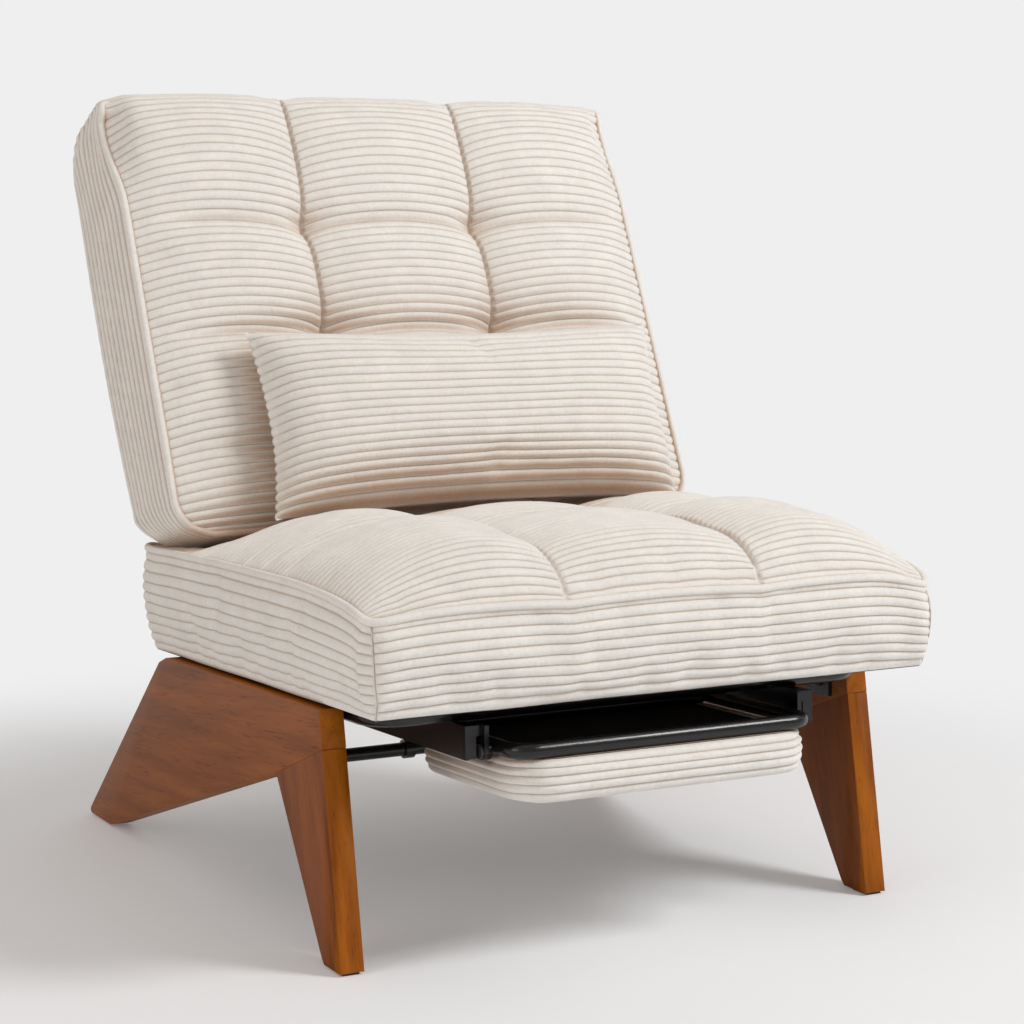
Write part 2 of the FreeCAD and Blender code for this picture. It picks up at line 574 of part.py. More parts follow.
# hinges: a toothed plate on the seat's rear tube for each side
hingePins = []
for side, sign in sides.items():
    start = fromSide(side, hingeX, "hingeThick")
    plate = plateAcross(f"{side}_hinge_plate", seatPose, start, "hingeThick", [
        ("hingePlateFront", "-hingePlateLow"),
        (f"{pivotPlace} - sectorRadius", "-hingePlateLow"),
        (f"{pivotPlace} + bossRadius", f"{pivotLevel} - sectorRadius"),
        (f"{pivotPlace} + bossRadius", pivotLevel),
        (f"{pivotPlace} - bossRadius", pivotLevel),
        (f"{pivotPlace} - bossRadius", f"{slatTop} - fit"),
        ("hingePlateFront", f"{slatTop} - fit")])
    sketch = newSketch(plate, "YZ_Plane", "boss", start)
    drawCircle(sketch, (pivotPlace, pivotLevel), "bossRadius")
    pad(plate, sketch, "hingeThick", "boss")
    sketch = newSketch(plate, "YZ_Plane", "sector", start, (pivotPlace, pivotLevel))
    first, last = math.radians(size["sectorEnd"]), math.radians(size["sectorStart"])
    rim = Part.Circle(Vector(0, 0, 0), Vector(0, 0, 1), size["sectorRadius"])
    arc = sketch.addGeometry(Part.ArcOfCircle(rim, first, last), False)
    low, high = rim.value(first), rim.value(last)
    lines = [sketch.addGeometry(Part.LineSegment(Vector(), low), False),
             sketch.addGeometry(Part.LineSegment(high, Vector()), False)]
    for constraint in (("Coincident", arc, 3, -1, 1), ("Coincident", lines[0], 1, -1, 1),
                       ("Coincident", lines[1], 2, -1, 1),
                       ("Coincident", lines[0], 2, arc, 1),
                       ("Coincident", lines[1], 1, arc, 2)):
        sketch.addConstraint(Sketcher.Constraint(*constraint))
    dimension(sketch, "Radius", (arc,), "sectorRadius")
    dimension(sketch, "DistanceY", (-1, 1, arc, 1), "sectorRadius * sin(sectorEnd)")
    dimension(sketch, "DistanceX", (-1, 1, arc, 2), "sectorRadius * cos(sectorStart)")
    pad(plate, sketch, "hingeThick", "sector")
    sketch = newSketch(plate, "YZ_Plane", "pinHole", start)
    drawCircle(sketch, (pivotPlace, pivotLevel), "hingePinRadius + runningFit")
    pocket(plate, sketch, "hingeThick", True, "pinHole")
    sketch = newSketch(plate, "YZ_Plane", "tubeSaddle", start)
    drawCircle(sketch, ("rearTubePlace", "tubeLevel"), "tubeRadius + runningFit")
    pocket(plate, sketch, "hingeThick", True, "tubeSaddle")
    sketch = newSketch(plate, "YZ_Plane", "notch", start, (pivotPlace, pivotLevel))
    over = "(sectorRadius + notchDeep)"
    ramp = "(notchFirst + notchRampShare * notchPitch)"
    drawOutline(sketch, [
        (f"{over} * cos(notchFirst)", f"{over} * sin(notchFirst)"),
        ("(sectorRadius - notchDeep) * cos(notchFirst)",
         "(sectorRadius - notchDeep) * sin(notchFirst)"),
        (f"sectorRadius * cos({ramp})", f"sectorRadius * sin({ramp})"),
        (f"{over} * cos({ramp})", f"{over} * sin({ramp})")])
    notch = pocket(plate, sketch, "hingeThick", True, "notch")
    before = plate.Shape.Volume
    pattern = plate.newObject("PartDesign::PolarPattern", "notches")
    pattern.Originals = [notch]
    pattern.Axis = (sketch, ["N_Axis"])
    pattern.Reversed = True
    pattern.setExpression("Angle", bind("notchPitch * (notchCount - 1)"))
    pattern.setExpression("Occurrences", bind("notchCount"))
    plate.Tip = pattern
    doc.recompute()
    if not plate.Shape.Volume < before:
        raise RuntimeError("the notches were not repeated")

    armInner = value(hingeX) - size["hingeGap"] - size["armThick"]
    outer = value(hingeX) + size["hingeThick"]
    shank = rod(sign * armInner, sign * outer, size["pivotY"], size["pivotZ"],
                size["hingePinRadius"])
    head = rod(sign * outer, sign * (outer + size["hingePinHeadHigh"]), size["pivotY"],
               size["pivotZ"], size["hingePinHead"])
    hingePins.append(head.fuse(shank).removeSplitter())
solidNode("hinge_pins", chairPose, Part.makeCompound(hingePins))

# backrest frame: arms from the pivots, a U of tube, a lower rail and three slats
armNear = f"({hingeX} - hingeGap - armThick)"
pawlY = "(pawlPinSide * cos(pawlAngle) - pawlPinOut * sin(pawlAngle))"
pawlZ = "(pawlPinSide * sin(pawlAngle) + pawlPinOut * cos(pawlAngle))"
for side in sides:
    start = fromSide(side, armNear, "armThick")
    arm = plateAcross(f"{side}_hinge_arm", backPose, start, "armThick", [
        (f"{pivotBehind} - armHalf", pivotAlong),
        (f"{pivotBehind} + armHalf", pivotAlong),
        ("armOut", "armBendLow"),
        ("armBack", "armBackLow"),
        ("armBack", "armTop"),
        ("armDeep", "armTop"),
        ("armDeep", "armDeepLow"),
        ("armSkin", "armBendHigh"),
        ("armSkin", "armBendLow")])
    sketch = newSketch(arm, "YZ_Plane", "boss", start)
    drawCircle(sketch, (pivotBehind, pivotAlong), "bossRadius")
    pad(arm, sketch, "armThick", "boss")
    sketch = newSketch(arm, "YZ_Plane", "pinHoles", start)
    drawCircle(sketch, (pivotBehind, pivotAlong), "hingePinRadius + runningFit")
    drawCircle(sketch, (f"{pivotBehind} + {pawlY}", f"{pivotAlong} + {pawlZ}"),
               "pawlPinRadius + runningFit")
    pocket(arm, sketch, "armThick", True, "pinHoles")
bentTube("back_frame_tube", backPose, False, backTubeHalf, "backTubeTop", "backTubeLow",
         None, "tubeRadius", "backTubeLevel")
roundBar("back_lower_rail", backPose, f"{armNear} - fit", "backTubeLevel",
         "backRailPlace", "tubeRadius")
backSlatHalf = f"({backTubeHalf} - tubeRadius - fit)"
for number in range(int(size["backSlatCount"])):
    place = f"(backSlatFirst + {number} * backSlatPitch)"
    plateAcross(f"back_slat_{number + 1}", backPose, f"-{backSlatHalf}",
                f"2 * {backSlatHalf}",
                rectangle("backTubeLevel - backSlatThick / 2",
                          "backTubeLevel + backSlatThick / 2",
                          f"{place} - backSlatWide / 2", f"{place} + backSlatWide / 2"))

# pawls that ride over the teeth, modelled lifted clear of them, with pins and leaf springs
pivotLocal = Vector(0, value(pivotBehind), value(pivotAlong))
pawlPose = backPose * Placement(pivotLocal, Rotation(across, size["pawlAngle"]))
tip = "(sectorRadius + pawlGap)"
pins, springs = [], []
for side, sign in sides.items():
    start = fromSide(side, hingeX, "hingeThick")
    pawl = plateAcross(f"{side}_pawl", pawlPose, start, "hingeThick", [
        ("-pawlNose / 2", tip), ("pawlNose / 2", tip),
        ("pawlNose", f"{tip} + pawlRise"),
        ("pawlPinSide + pawlEye", "pawlPinOut - pawlEye / 2"),
        ("pawlPinSide + pawlEye", "pawlPinOut + pawlEye / 2"),
        ("pawlPinSide + pawlEye / 2", "pawlPinOut + pawlEye"),
        ("-pawlTail", "pawlPinOut + pawlEye"),
        ("-pawlTail", "pawlPinOut + pawlEye - pawlTailThick"),
        ("-pawlNose / 2", "pawlPinOut - pawlEye")])
    sketch = newSketch(pawl, "YZ_Plane", "pinHole", start)
    drawCircle(sketch, ("pawlPinSide", "pawlPinOut"), "pawlPinRadius + runningFit")
    pocket(pawl, sketch, "hingeThick", True, "pinHole")
    outer = value(hingeX) + size["hingeThick"] + size["pawlPinProud"]
    pins.append(rod(sign * (armInner - size["pawlPinProud"]), sign * outer,
                    size["pawlPinSide"], size["pawlPinOut"], size["pawlPinRadius"]))
    back = size["pawlPinOut"] + size["pawlEye"] + size["fit"]
    low = sign * value(hingeX) - (size["springWide"] if sign < 0 else 0)
    foot = Part.makeBox(size["springWide"], size["springFoot"], size["springThick"],
                        Vector(low, -size["springFoot"] - size["pawlNose"] / 2, back))
    leg = Part.makeBox(size["springWide"], size["springThick"], size["springLeg"],
                       Vector(low, -size["pawlNose"] / 2, back))
    springs.append(foot.fuse(leg).removeSplitter())
solidNode("pawl_pins", pawlPose, Part.makeCompound(pins))
solidNode("pawl_springs", pawlPose, Part.makeCompound(springs))


# plastic plugs in the open rear ends of the seat's tube frame
plugs = []
for sign in sides.values():
    end = Vector(sign * value(frameHalf), size["frameEnd"], size["tubeLevel"])
    backward = Vector(0, 1, 0)
    plugs.append(Part.makeCylinder(size["tubeRadius"] - size["tubeWall"] - size["runningFit"],
                                   size["plugDeep"] + size["plugProud"],
                                   end + backward * size["plugProud"], -backward))
solidNode("seat_tube_plugs", seatPose, Part.makeCompound(plugs))


def tuftedRing(level, place, half, seam, heights, bulge, footHalf):
    # one slice of a tufted cushion: three crowned columns between two bulging sides;
    # heights are those of its base, edges, seams and crowns
    base, edge, seamLevel, crown = heights
    corners = [across * sign * footHalf + level * base for sign in (-1, 1)]
    corners += [across * x + level * z
                for x, z in ((half, edge), (seam, seamLevel), (-seam, seamLevel), (-half, edge))]
    side = (across * bulge, size["sideSteps"])
    outerCrown = (level * (crown - (edge + seamLevel) / 2), size["crownSteps"])
    middleCrown = (level * (crown - seamLevel), size["crownSteps"])
    otherSide = (across * -bulge, size["sideSteps"])
    ring = corners[:1]
    for i, (bow, steps) in enumerate((side, outerCrown, middleCrown, outerCrown, otherSide), 1):
        ring += bowedRun(corners[i], corners[(i + 1) % len(corners)], bow, steps)
    return [place + point for point in ring]


# seat cushion, sliced from front to rear: share of the length, of the half width, then
# the levels of its base, piping, seams and crown as shares of the full height
seatSliceShares = [
    (-0.014, 0.979, 0.070, 0.478, 0.484, 0.492), (0.000, 0.997, 0.006, 0.539, 0.547, 0.567),
    (0.021, 1.000, 0.000, 0.572, 0.672, 0.711), (0.053, 1.000, 0.000, 0.594, 0.767, 0.833),
    (0.097, 1.000, 0.000, 0.611, 0.828, 0.917), (0.164, 1.000, 0.000, 0.633, 0.844, 0.944),
    (0.220, 1.000, 0.000, 0.645, 0.886, 0.986), (0.276, 1.000, 0.000, 0.656, 0.900, 1.000),
    (0.332, 1.000, 0.000, 0.659, 0.893, 0.993), (0.388, 1.000, 0.000, 0.661, 0.861, 0.965),
    (0.444, 1.000, 0.000, 0.664, 0.893, 0.990), (0.499, 1.000, 0.000, 0.667, 0.900, 0.997),
    (0.555, 1.000, 0.000, 0.667, 0.890, 0.985), (0.611, 1.000, 0.000, 0.667, 0.860, 0.950),
    (0.660, 1.000, 0.000, 0.667, 0.860, 0.935), (0.710, 1.000, 0.000, 0.667, 0.835, 0.890),
    (0.755, 1.000, 0.000, 0.667, 0.783, 0.830), (0.797, 1.000, 0.000, 0.667, 0.731, 0.762),
    (0.834, 1.000, 0.000, 0.667, 0.711, 0.731), (0.882, 1.000, 0.000, 0.664, 0.678, 0.682),
    (0.939, 1.000, 0.000, 0.658, 0.660, 0.662), (1.000, 0.997, 0.006, 0.672, 0.673, 0.674)]
slices = []
for along, wide, low, edge, seam, crown in seatSliceShares:
    place = size["seatFront"] + along * (size["seatRear"] - size["seatFront"])
    high = size["seatHigh"]
    heights = [size["seatBase"] + low * high, edge * high, seam * high, crown * high]
    slices.append(tuftedRing(Vector(0, 0, 1), Vector(0, place, 0), wide * value(seatHalf),
                             size["seatSeam"], heights, size["seatBulge"],
                             wide * (value(seatHalf) - size["seatFootInset"])))
solidNode("seat_cushion", seatPose, facetedLoft(slices))

# back cushion, sliced from bottom to top: share of the length, of the half width, then
# the places of its front edge and rear face as shares of the thickness, and the heights
# of its seams and crown as shares of the full crown
backSliceShares = [
    (0.000, 0.952, 0.060, 0.400, 0.10, 0.15), (0.015, 0.979, 0.013, 0.607, 0.30, 0.40),
    (0.045, 0.997, 0.000, 0.783, 0.30, 0.60), (0.099, 1.000, 0.000, 0.916, 0.25, 0.75),
    (0.171, 1.000, 0.000, 0.953, 0.05, 0.65), (0.234, 1.000, 0.000, 0.985, 0.34, 0.94),
    (0.297, 1.000, 0.000, 1.010, 0.40, 1.00), (0.360, 1.000, 0.000, 1.034, 0.34, 0.94),
    (0.423, 1.000, 0.000, 1.050, 0.05, 0.65), (0.486, 1.000, 0.000, 1.062, 0.34, 0.94),
    (0.549, 1.000, 0.000, 1.066, 0.40, 1.00), (0.612, 1.000, 0.000, 1.068, 0.34, 0.94),
    (0.674, 1.000, 0.000, 1.066, 0.05, 0.65), (0.742, 1.000, 0.000, 1.060, 0.34, 0.90),
    (0.809, 1.000, 0.000, 1.050, 0.40, 0.95), (0.870, 1.000, 0.000, 1.036, 0.36, 0.84),
    (0.920, 0.998, 0.000, 1.018, 0.28, 0.62), (0.962, 0.990, 0.000, 0.980, 0.20, 0.35),
    (0.989, 0.961, 0.030, 0.867, 0.10, 0.15), (1.000, 0.920, 0.130, 0.680, 0.05, 0.08)]
slices = []
for along, wide, front, rear, seam, crown in backSliceShares:
    place = size["backBottom"] + along * (size["backTop"] - size["backBottom"])
    thick = size["backThick"]
    edge = front * thick
    heights = [rear * thick, edge, edge - seam * size["backCrown"],
               edge - crown * size["backCrown"]]
    slices.append(tuftedRing(Vector(0, 1, 0), Vector(0, 0, place), wide * value(backHalf),
                             size["backSeam"], heights, size["backSideBulge"],
                             wide * value(backHalf)))
cushion = facetedLoft(slices)
recess = Part.makeBox(2 * value(recessHalf), size["backThick"],
                      size["recessHigh"] - size["recessLow"],
                      Vector(-value(recessHalf), size["recessFloor"], size["recessLow"]))
solidNode("back_cushion", backPose, cushion.cut(recess))

# covered board that closes the recess at the rear, curved like the cushion's rear face
panelHalf = value(recessHalf) - size["softGap"]
panelHigh = size["recessHigh"] - size["softGap"]
panelMid = (size["panelLow"] + panelHigh) / 2


def panelArc(inset):
    return Part.Arc(Vector(-panelHalf, size["panelEdge"] - inset, size["panelLow"]),
                    Vector(-panelHalf, size["panelEdge"] + size["panelBow"] - inset, panelMid),
                    Vector(-panelHalf, size["panelEdge"] - inset, panelHigh)).toShape()


outside, inside = panelArc(0), panelArc(size["panelThick"])
ends = [Part.makeLine(a.Point, b.Point) for a, b in zip(outside.Vertexes, inside.Vertexes)]
face = Part.Face(Part.Wire(Part.__sortEdges__([outside, inside] + ends)))
solidNode("back_panel", backPose, face.extrude(across * (2 * panelHalf)))

# lumbar pillow with pointed corners, in rings from its front crown to its rear one: share
# of the bulge on that side, of the half size that the ring draws in there, and of the
# pillow's edge bow, by which the ring's sides bow out or, at the seam, in
pillowLayerShares = [(1, 0.66, 5), (0.94, 0.46, 4.5), (0.78, 0.28, 3), (0.48, 0.12, 1.2),
                     (0, 0, -1)]
pillowMid = (size["pillowLow"] + size["pillowHigh"]) / 2
upward = Vector(0, 0, 1)
layers = []
for bulge, front in ((-size["pillowFrontBulge"], True), (size["pillowRearBulge"], False)):
    start = size["pillowEdge"] - (size["pillowLip"] if front else 0)
    for full, inset, bow in pillowLayerShares if front else pillowLayerShares[::-1]:
        reachX = (1 - inset) * size["pillowHalf"]
        reachZ = (1 - inset) * (size["pillowHigh"] - pillowMid)
        corners = [Vector(size["pillowCentre"] + signX * reachX, start + full * bulge,
                          pillowMid + signZ * reachZ)
                   for signX, signZ in ((-1, -1), (1, -1), (1, 1), (-1, 1))]
        ring = []
        for i, outward in enumerate((-upward, across, upward, -across)):
            ring += bowedRun(corners[i], corners[(i + 1) % len(corners)],
                             outward * (bow * size["pillowBow"]), size["pillowSteps"])
        layers.append(ring)
solidNode("lumbar_pillow", backPose, facetedLoft(layers))

doc.recompute()
for thing in doc.Objects:
    if "Invalid" in thing.State or "Error" in thing.State:
        raise RuntimeError(f"{thing.Label} failed: {thing.State}")
for label, node in nodes.items():
    if node.Shape.isNull() or not node.Shape.isValid():
        raise RuntimeError(f"{label} has no valid shape")
os.makedirs("parts", exist_ok=True)
for label, node in nodes.items():
    node.Shape.exportStep(os.path.join("parts", label + ".step"))
print(len(nodes), "nodes written")
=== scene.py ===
import json
import math

import bpy
import bmesh
import numpy as np
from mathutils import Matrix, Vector


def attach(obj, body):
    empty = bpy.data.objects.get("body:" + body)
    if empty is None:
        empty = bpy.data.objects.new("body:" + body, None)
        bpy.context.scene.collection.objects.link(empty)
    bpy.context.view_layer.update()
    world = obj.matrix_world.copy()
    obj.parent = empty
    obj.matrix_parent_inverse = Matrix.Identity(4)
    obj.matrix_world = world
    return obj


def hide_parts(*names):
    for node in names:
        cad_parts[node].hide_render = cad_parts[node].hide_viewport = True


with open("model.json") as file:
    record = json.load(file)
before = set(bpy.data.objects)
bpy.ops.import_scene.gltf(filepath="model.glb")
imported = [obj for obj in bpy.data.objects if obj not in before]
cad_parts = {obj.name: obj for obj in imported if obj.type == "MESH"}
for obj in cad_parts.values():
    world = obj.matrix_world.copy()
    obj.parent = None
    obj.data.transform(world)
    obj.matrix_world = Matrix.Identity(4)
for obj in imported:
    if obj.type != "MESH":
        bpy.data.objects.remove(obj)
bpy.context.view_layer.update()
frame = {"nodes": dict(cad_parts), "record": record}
nodes = frame["nodes"]
scene = bpy.context.scene
mm = 0.001


class Signal:
    # one value on its way between shader nodes
    def __init__(self, tree, socket=None):
        self.tree = tree
        self.socket = socket

    def node(self, kind, settings=None, values=None, output=0):
        made = self.tree.nodes.new("ShaderNode" + kind)
        for name, setting in (settings or {}).items():
            setattr(made, name, setting)
        for name, value in (values or {}).items():
            if isinstance(value, Signal):
                self.tree.links.new(value.socket, made.inputs[name])
            else:
                made.inputs[name].default_value = value
        return Signal(self.tree, made.outputs[output] if made.outputs else None)

    def maths(self, operation, first, second):
        return self.node("Math", {"operation": operation}, {0: first, 1: second})

    def __add__(self, other):
        return self.maths("ADD", self, other)

    __radd__ = __add__

    def __sub__(self, other):
        return self.maths("SUBTRACT", self, other)

    def __rsub__(self, other):
        return self.maths("SUBTRACT", other, self)

    def __mul__(self, other):
        return self.maths("MULTIPLY", self, other)

    __rmul__ = __mul__

    def __gt__(self, other):
        return self.maths("GREATER_THAN", self, other)

    def clamp(self, low=0.0, high=1.0):
        return self.maths("MAXIMUM", self.maths("MINIMUM", self, high), low)

    def mix(self, low, high, blend="MIX"):
        low, high = [(*c, 1) if isinstance(c, tuple) and len(c) == 3 else c for c in (low, high)]
        return self.node("Mix", {"data_type": "RGBA", "blend_type": blend},
                         {0: self, 6: low, 7: high}, 2)

    def tint(self, strength):
        # a colour made lighter or darker by a number
        return self.node("VectorMath", {"operation": "SCALE"}, {0: self, "Scale": strength})


def newMaterial(name):
    material = bpy.data.materials.new(name)
    material.use_nodes = True
    tree = material.node_tree
    tree.nodes.clear()
    return material, Signal(tree)


def finishMaterial(paint, shaderValues, bump=None, distance=0.001):
    # one Principled shader, with a bump of the given height in metres
    if bump is not None:
        shaderValues["Normal"] = paint.node("Bump", None, {"Height": bump, "Distance": distance})
    shader = paint.node("BsdfPrincipled", None, shaderValues)
    paint.node("OutputMaterial", None, {"Surface": shader})


def objectPlace(paint):
    return paint.node("TexCoord", output=3)


def stretched(paint, lengths, turn=(0, 0, 0)):
    # the object's place, turned back and then drawn out by the lengths
    return paint.node("Mapping", {"vector_type": "TEXTURE"},
                      {"Vector": objectPlace(paint), "Scale": lengths, "Rotation": turn})


def noise(paint, place, scale, detail=3.0, roughness=0.5):
    return paint.node("TexNoise", None, {"Vector": place, "Scale": scale, "Detail": detail,
                                         "Roughness": roughness})


corduroyLook = {
    # the valley tone between the wales is partly the cloth's own darker base and partly painted
    # shade
    "crest": (0.87, 0.852, 0.815), "valleyToneAndShade": (0.60, 0.50, 0.42), "valleyShare": 0.55,
    "patchScale": 34, "patchDepth": 0.16, "speckScale": 260, "speckDepth": 0.20,
    "pileScale": 1500, "pileHeight": 0.0005, "speckHeight": 1.5, "roughness": 0.95,
    "sheen": 0.35, "sheenRoughness": 0.45, "sheenTint": (1, 0.97, 0.93, 1), "gloss": 0.15,
    # painted shade, a warm darker tone where nearby parts close the cloth in: its tone, how near,
    # from which openness, and only on the crests
    "paintedShade": (0.71, 0.51, 0.38), "paintedShadeReach": 0.14, "paintedShadeFrom": 0.82, "paintedShadeGain": 3.0,
    "crestGain": 1.6, "crestFrom": 0.6,
}


def makeCorduroy():
    look = corduroyLook
    material, paint = newMaterial("corduroy")
    place = objectPlace(paint)
    crest = paint.node("Attribute", {"attribute_name": "crest"}, None, 2)
    patches = noise(paint, place, look["patchScale"], 2)
    specks = noise(paint, place, look["speckScale"], 3, 0.6)
    pile = noise(paint, place, look["pileScale"], 2)
    shade = 1 + (patches - 0.5) * look["patchDepth"] + (specks - 0.5) * look["speckDepth"]
    height = (crest * (1 / look["valleyShare"])).clamp()
    # the darker valley tone between the wales: partly the cloth's own, partly painted shade
    colour = height.mix(look["valleyToneAndShade"], look["crest"]).tint(shade)
    # painted shade: crests that nearby parts close in take a warm darker tone
    openness = paint.node("AmbientOcclusion", {"samples": 6}, {"Distance": look["paintedShadeReach"]}, 1)
    paintedShade = ((look["paintedShadeFrom"] - openness) * look["paintedShadeGain"]).clamp()
    paintedShade = paintedShade * (crest * look["crestGain"] - look["crestFrom"]).clamp()
    finishMaterial(paint, {
        "Base Color": paintedShade.mix(colour, look["paintedShade"], "MULTIPLY"),
        "Roughness": look["roughness"], "Sheen Weight": look["sheen"],
        "Sheen Roughness": look["sheenRoughness"], "Sheen Tint": look["sheenTint"],
        "Specular IOR Level": look["gloss"]}, pile + specks * look["speckHeight"],
        look["pileHeight"])
    return material


woodLook = {
    "edgeDark": (0.19, 0.044, 0.002), "edgeLight": (0.46, 0.138, 0.007), "edgeFrom": 0.6,
    "swayScale": 9 * 0.6, "bandScale": 9 * 7, "stretch": 12, "swayShare": 0.45,
    "bandShare": 0.55, "figureFrom": 0.34, "figureGain": 3.1, "poreScale": 620,
    "poreStretch": 22, "poreFrom": 0.60, "poreGain": 9, "poreDark": 0.35, "bump": 0.00025,
    "bandHeight": 0.6, "poreHeight": 0.4, "roughness": 0.44, "roughnessMore": 0.14,
    "gloss": 0.14,
    # grain angle, dark and light tone
    "boardWood": (-6, (0.155, 0.047, 0.014), (0.345, 0.120, 0.040)),
    "legWood": (74, (0.140, 0.037, 0.006), (0.310, 0.090, 0.018)),
}


def makeWood(name):
    # grain runs along Y turned up by its angle about X; faces across X show the face tones
    look = woodLook
    grainAngle, dark, light = look[name]
    turn = (math.radians(grainAngle), 0, 0)
    material, paint = newMaterial(name)
    along = stretched(paint, (1, look["stretch"], 1), turn)
    sway = noise(paint, along, look["swayScale"], 3)
    bands = noise(paint, along, look["bandScale"], 4, 0.62)
    streaks = noise(paint, stretched(paint, (1, look["poreStretch"], 1), turn),
                    look["poreScale"], 2)
    pores = ((streaks - look["poreFrom"]) * look["poreGain"]).clamp()
    figure = sway * look["swayShare"] + bands * look["bandShare"]
    figure = ((figure - look["figureFrom"]) * look["figureGain"]).clamp()
    facing = paint.node("SeparateXYZ", None, {"Vector": paint.node("TexCoord", output=1)})
    face = paint.node("Math", {"operation": "ABSOLUTE"}, {0: facing}) > look["edgeFrom"]
    colour = face.mix(figure.mix(look["edgeDark"], look["edgeLight"]), figure.mix(dark, light))
    finishMaterial(paint, {
        "Base Color": colour.tint(1 - pores * look["poreDark"]),
        "Roughness": look["roughness"] + bands * look["roughnessMore"],
        "Specular IOR Level": look["gloss"]},
        bands * look["bandHeight"] + pores * look["poreHeight"], look["bump"])
    return material


coatLook = {
    "smudgeScale": 12, "smudgeLight": 1.35, "smudgeRough": 0.12, "peel": 0.00012,
    # tone, roughness and scale of the orange peel
    "blackSteel": ((0.004, 0.004, 0.0045), 0.24, 900),
    "darkFasteners": ((0.03, 0.03, 0.032), 0.28, 1500),
    "glidePlastic": ((0.02, 0.02, 0.02), 0.5, 1200),
}


def makePowderCoat(name):
    look = coatLook
    tone, roughness, peelScale = look[name]
    material, paint = newMaterial(name)
    place = objectPlace(paint)
    orangePeel = noise(paint, place, peelScale, 2)
    smudge = noise(paint, place, look["smudgeScale"], 3)
    light = tuple(c * look["smudgeLight"] for c in tone)
    finishMaterial(paint, {"Base Color": smudge.mix(tone, light),
                           "Roughness": roughness + (smudge - 0.5) * look["smudgeRough"],
                           "Specular IOR Level": 0.5}, orangePeel, look["peel"])
    return material


plainLook = {
    "slatWood": {"dark": (0.42, 0.28, 0.15), "light": (0.62, 0.46, 0.28), "lengths": (16, 1, 1),
                 "scale": 90, "detail": 4, "harsh": 0.6, "roughness": 0.55, "more": 0.15},
    "dustCover": {"dark": (0.008, 0.008, 0.009), "light": (0.022, 0.022, 0.024),
                  "lengths": (1, 1, 1), "scale": 700, "detail": 3, "harsh": 0.7,
                  "roughness": 0.9, "more": 0.08},
    "bump": 0.0002,
}


def makePlain(name):
    # the plain wood of the slats, or the black web under the seat and over the footrest board
    look = plainLook[name]
    material, paint = newMaterial(name)
    grain = noise(paint, stretched(paint, look["lengths"]), look["scale"], look["detail"],
                  look["harsh"])
    finishMaterial(paint, {"Base Color": grain.mix(look["dark"], look["light"]),
                           "Roughness": look["roughness"] + grain * look["more"]},
                   grain, plainLook["bump"])
    return material


materials = {
    "corduroy": makeCorduroy(),
    "boardWood": makeWood("boardWood"),
    "legWood": makeWood("legWood"),
    "black_steel": makePowderCoat("blackSteel"),
    "dark_fasteners": makePowderCoat("darkFasteners"),
    "glide_plastic": makePowderCoat("glidePlastic"),
    "slat_wood": makePlain("slatWood"),
    "dustCover": makePlain("dustCover"),
}
print("materials made")


edges = {"weld": 0.00002, "ease": 0.0014, "easeSteps": 2, "easeFrom": 20, "crease": 32}
slotOf = {part["node"]: part["material_slot"] for part in frame["record"]["subparts"]}
for label, node in nodes.items():
    finish = slotOf[label]
    if finish == "walnut":
        finish = "legWood" if "leg" in label else "boardWood"
    if label == "footrest_board":
        finish = "dustCover"
    node.data.materials.clear()
    node.data.materials.append(materials[finish])
    for polygon in node.data.polygons:
        polygon.use_smooth = True
    weld = node.modifiers.new("weld", "WELD")
    weld.merge_threshold = edges["weld"]
    if slotOf[label] == "walnut":
        # eased edges, which also draw the line where leg and board are glued
        ease = node.modifiers.new("ease", "BEVEL")
        ease.width, ease.segments = edges["ease"], edges["easeSteps"]
        ease.angle_limit = math.radians(edges["easeFrom"])
        ease.harden_normals = True
    else:
        crease = node.modifiers.new("crease", "EDGE_SPLIT")
        crease.split_angle = math.radians(edges["crease"])
print("carried-over pieces finished")


def curveWeights(count, places):
    # Catmull-Rom weights of evenly spaced stations at places between 0 and count - 1
    base = np.clip(np.floor(places).astype(int), 0, count - 2)
    t = places - base
    factors = ((-t + 2 * t**2 - t**3) / 2, (2 - 5 * t**2 + 3 * t**3) / 2,
               (t + 4 * t**2 - 3 * t**3) / 2, (-(t**2) + t**3) / 2)
    weights = np.zeros((len(places), count))
    rows = np.arange(len(places))
    for shift, factor in zip((-1, 0, 1, 2), factors):
        index = base + shift
        inside = (index >= 0) & (index < count)
        weights[rows[inside], index[inside]] += factor[inside]
        # past either end the line goes on straight
        for beyond, end, inner in ((index < 0, 0, 1), (index >= count, count - 1, count - 2)):
            weights[rows[beyond], end] += 2 * factor[beyond]
            weights[rows[beyond], inner] -= factor[beyond]
    return weights


def refine(grid, rowPlaces, columnPlaces):
    down = curveWeights(grid.shape[0], rowPlaces)
    over = curveWeights(grid.shape[1], columnPlaces)
    return np.einsum("ri,ijk,cj->rck", down, grid, over, optimize=True)


def slopes(grid):
    # unit normals, and unit directions down the rows and over the columns
    down = np.gradient(grid, axis=0)
    over = np.gradient(grid, axis=1)
    normal = np.cross(over, down)
    lengths = [np.maximum(np.linalg.norm(v, axis=2, keepdims=True), 1e-12)
               for v in (normal, down, over)]
    return normal / lengths[0], down / lengths[1], over / lengths[2]


def smoothStep(t):
    t = np.clip(t, 0, 1)
    return t * t * (3 - 2 * t)


def bell(distance, width):
    return np.exp(-(distance / width) ** 2)


def wander(rows, columns, knots, seed):
    # a smooth random field between -1 and 1
    field = np.random.default_rng(seed).uniform(-1, 1, (*knots, 1))
    return refine(field, np.linspace(0, knots[0] - 1, rows),
                  np.linspace(0, knots[1] - 1, columns))[..., 0]


def cellFaces(index, flip):
    corners = [index[:-1, :-1], index[:-1, 1:], index[1:, 1:], index[1:, :-1]]
    return np.stack(corners[::-1] if flip else corners, axis=-1).reshape(-1, 4)


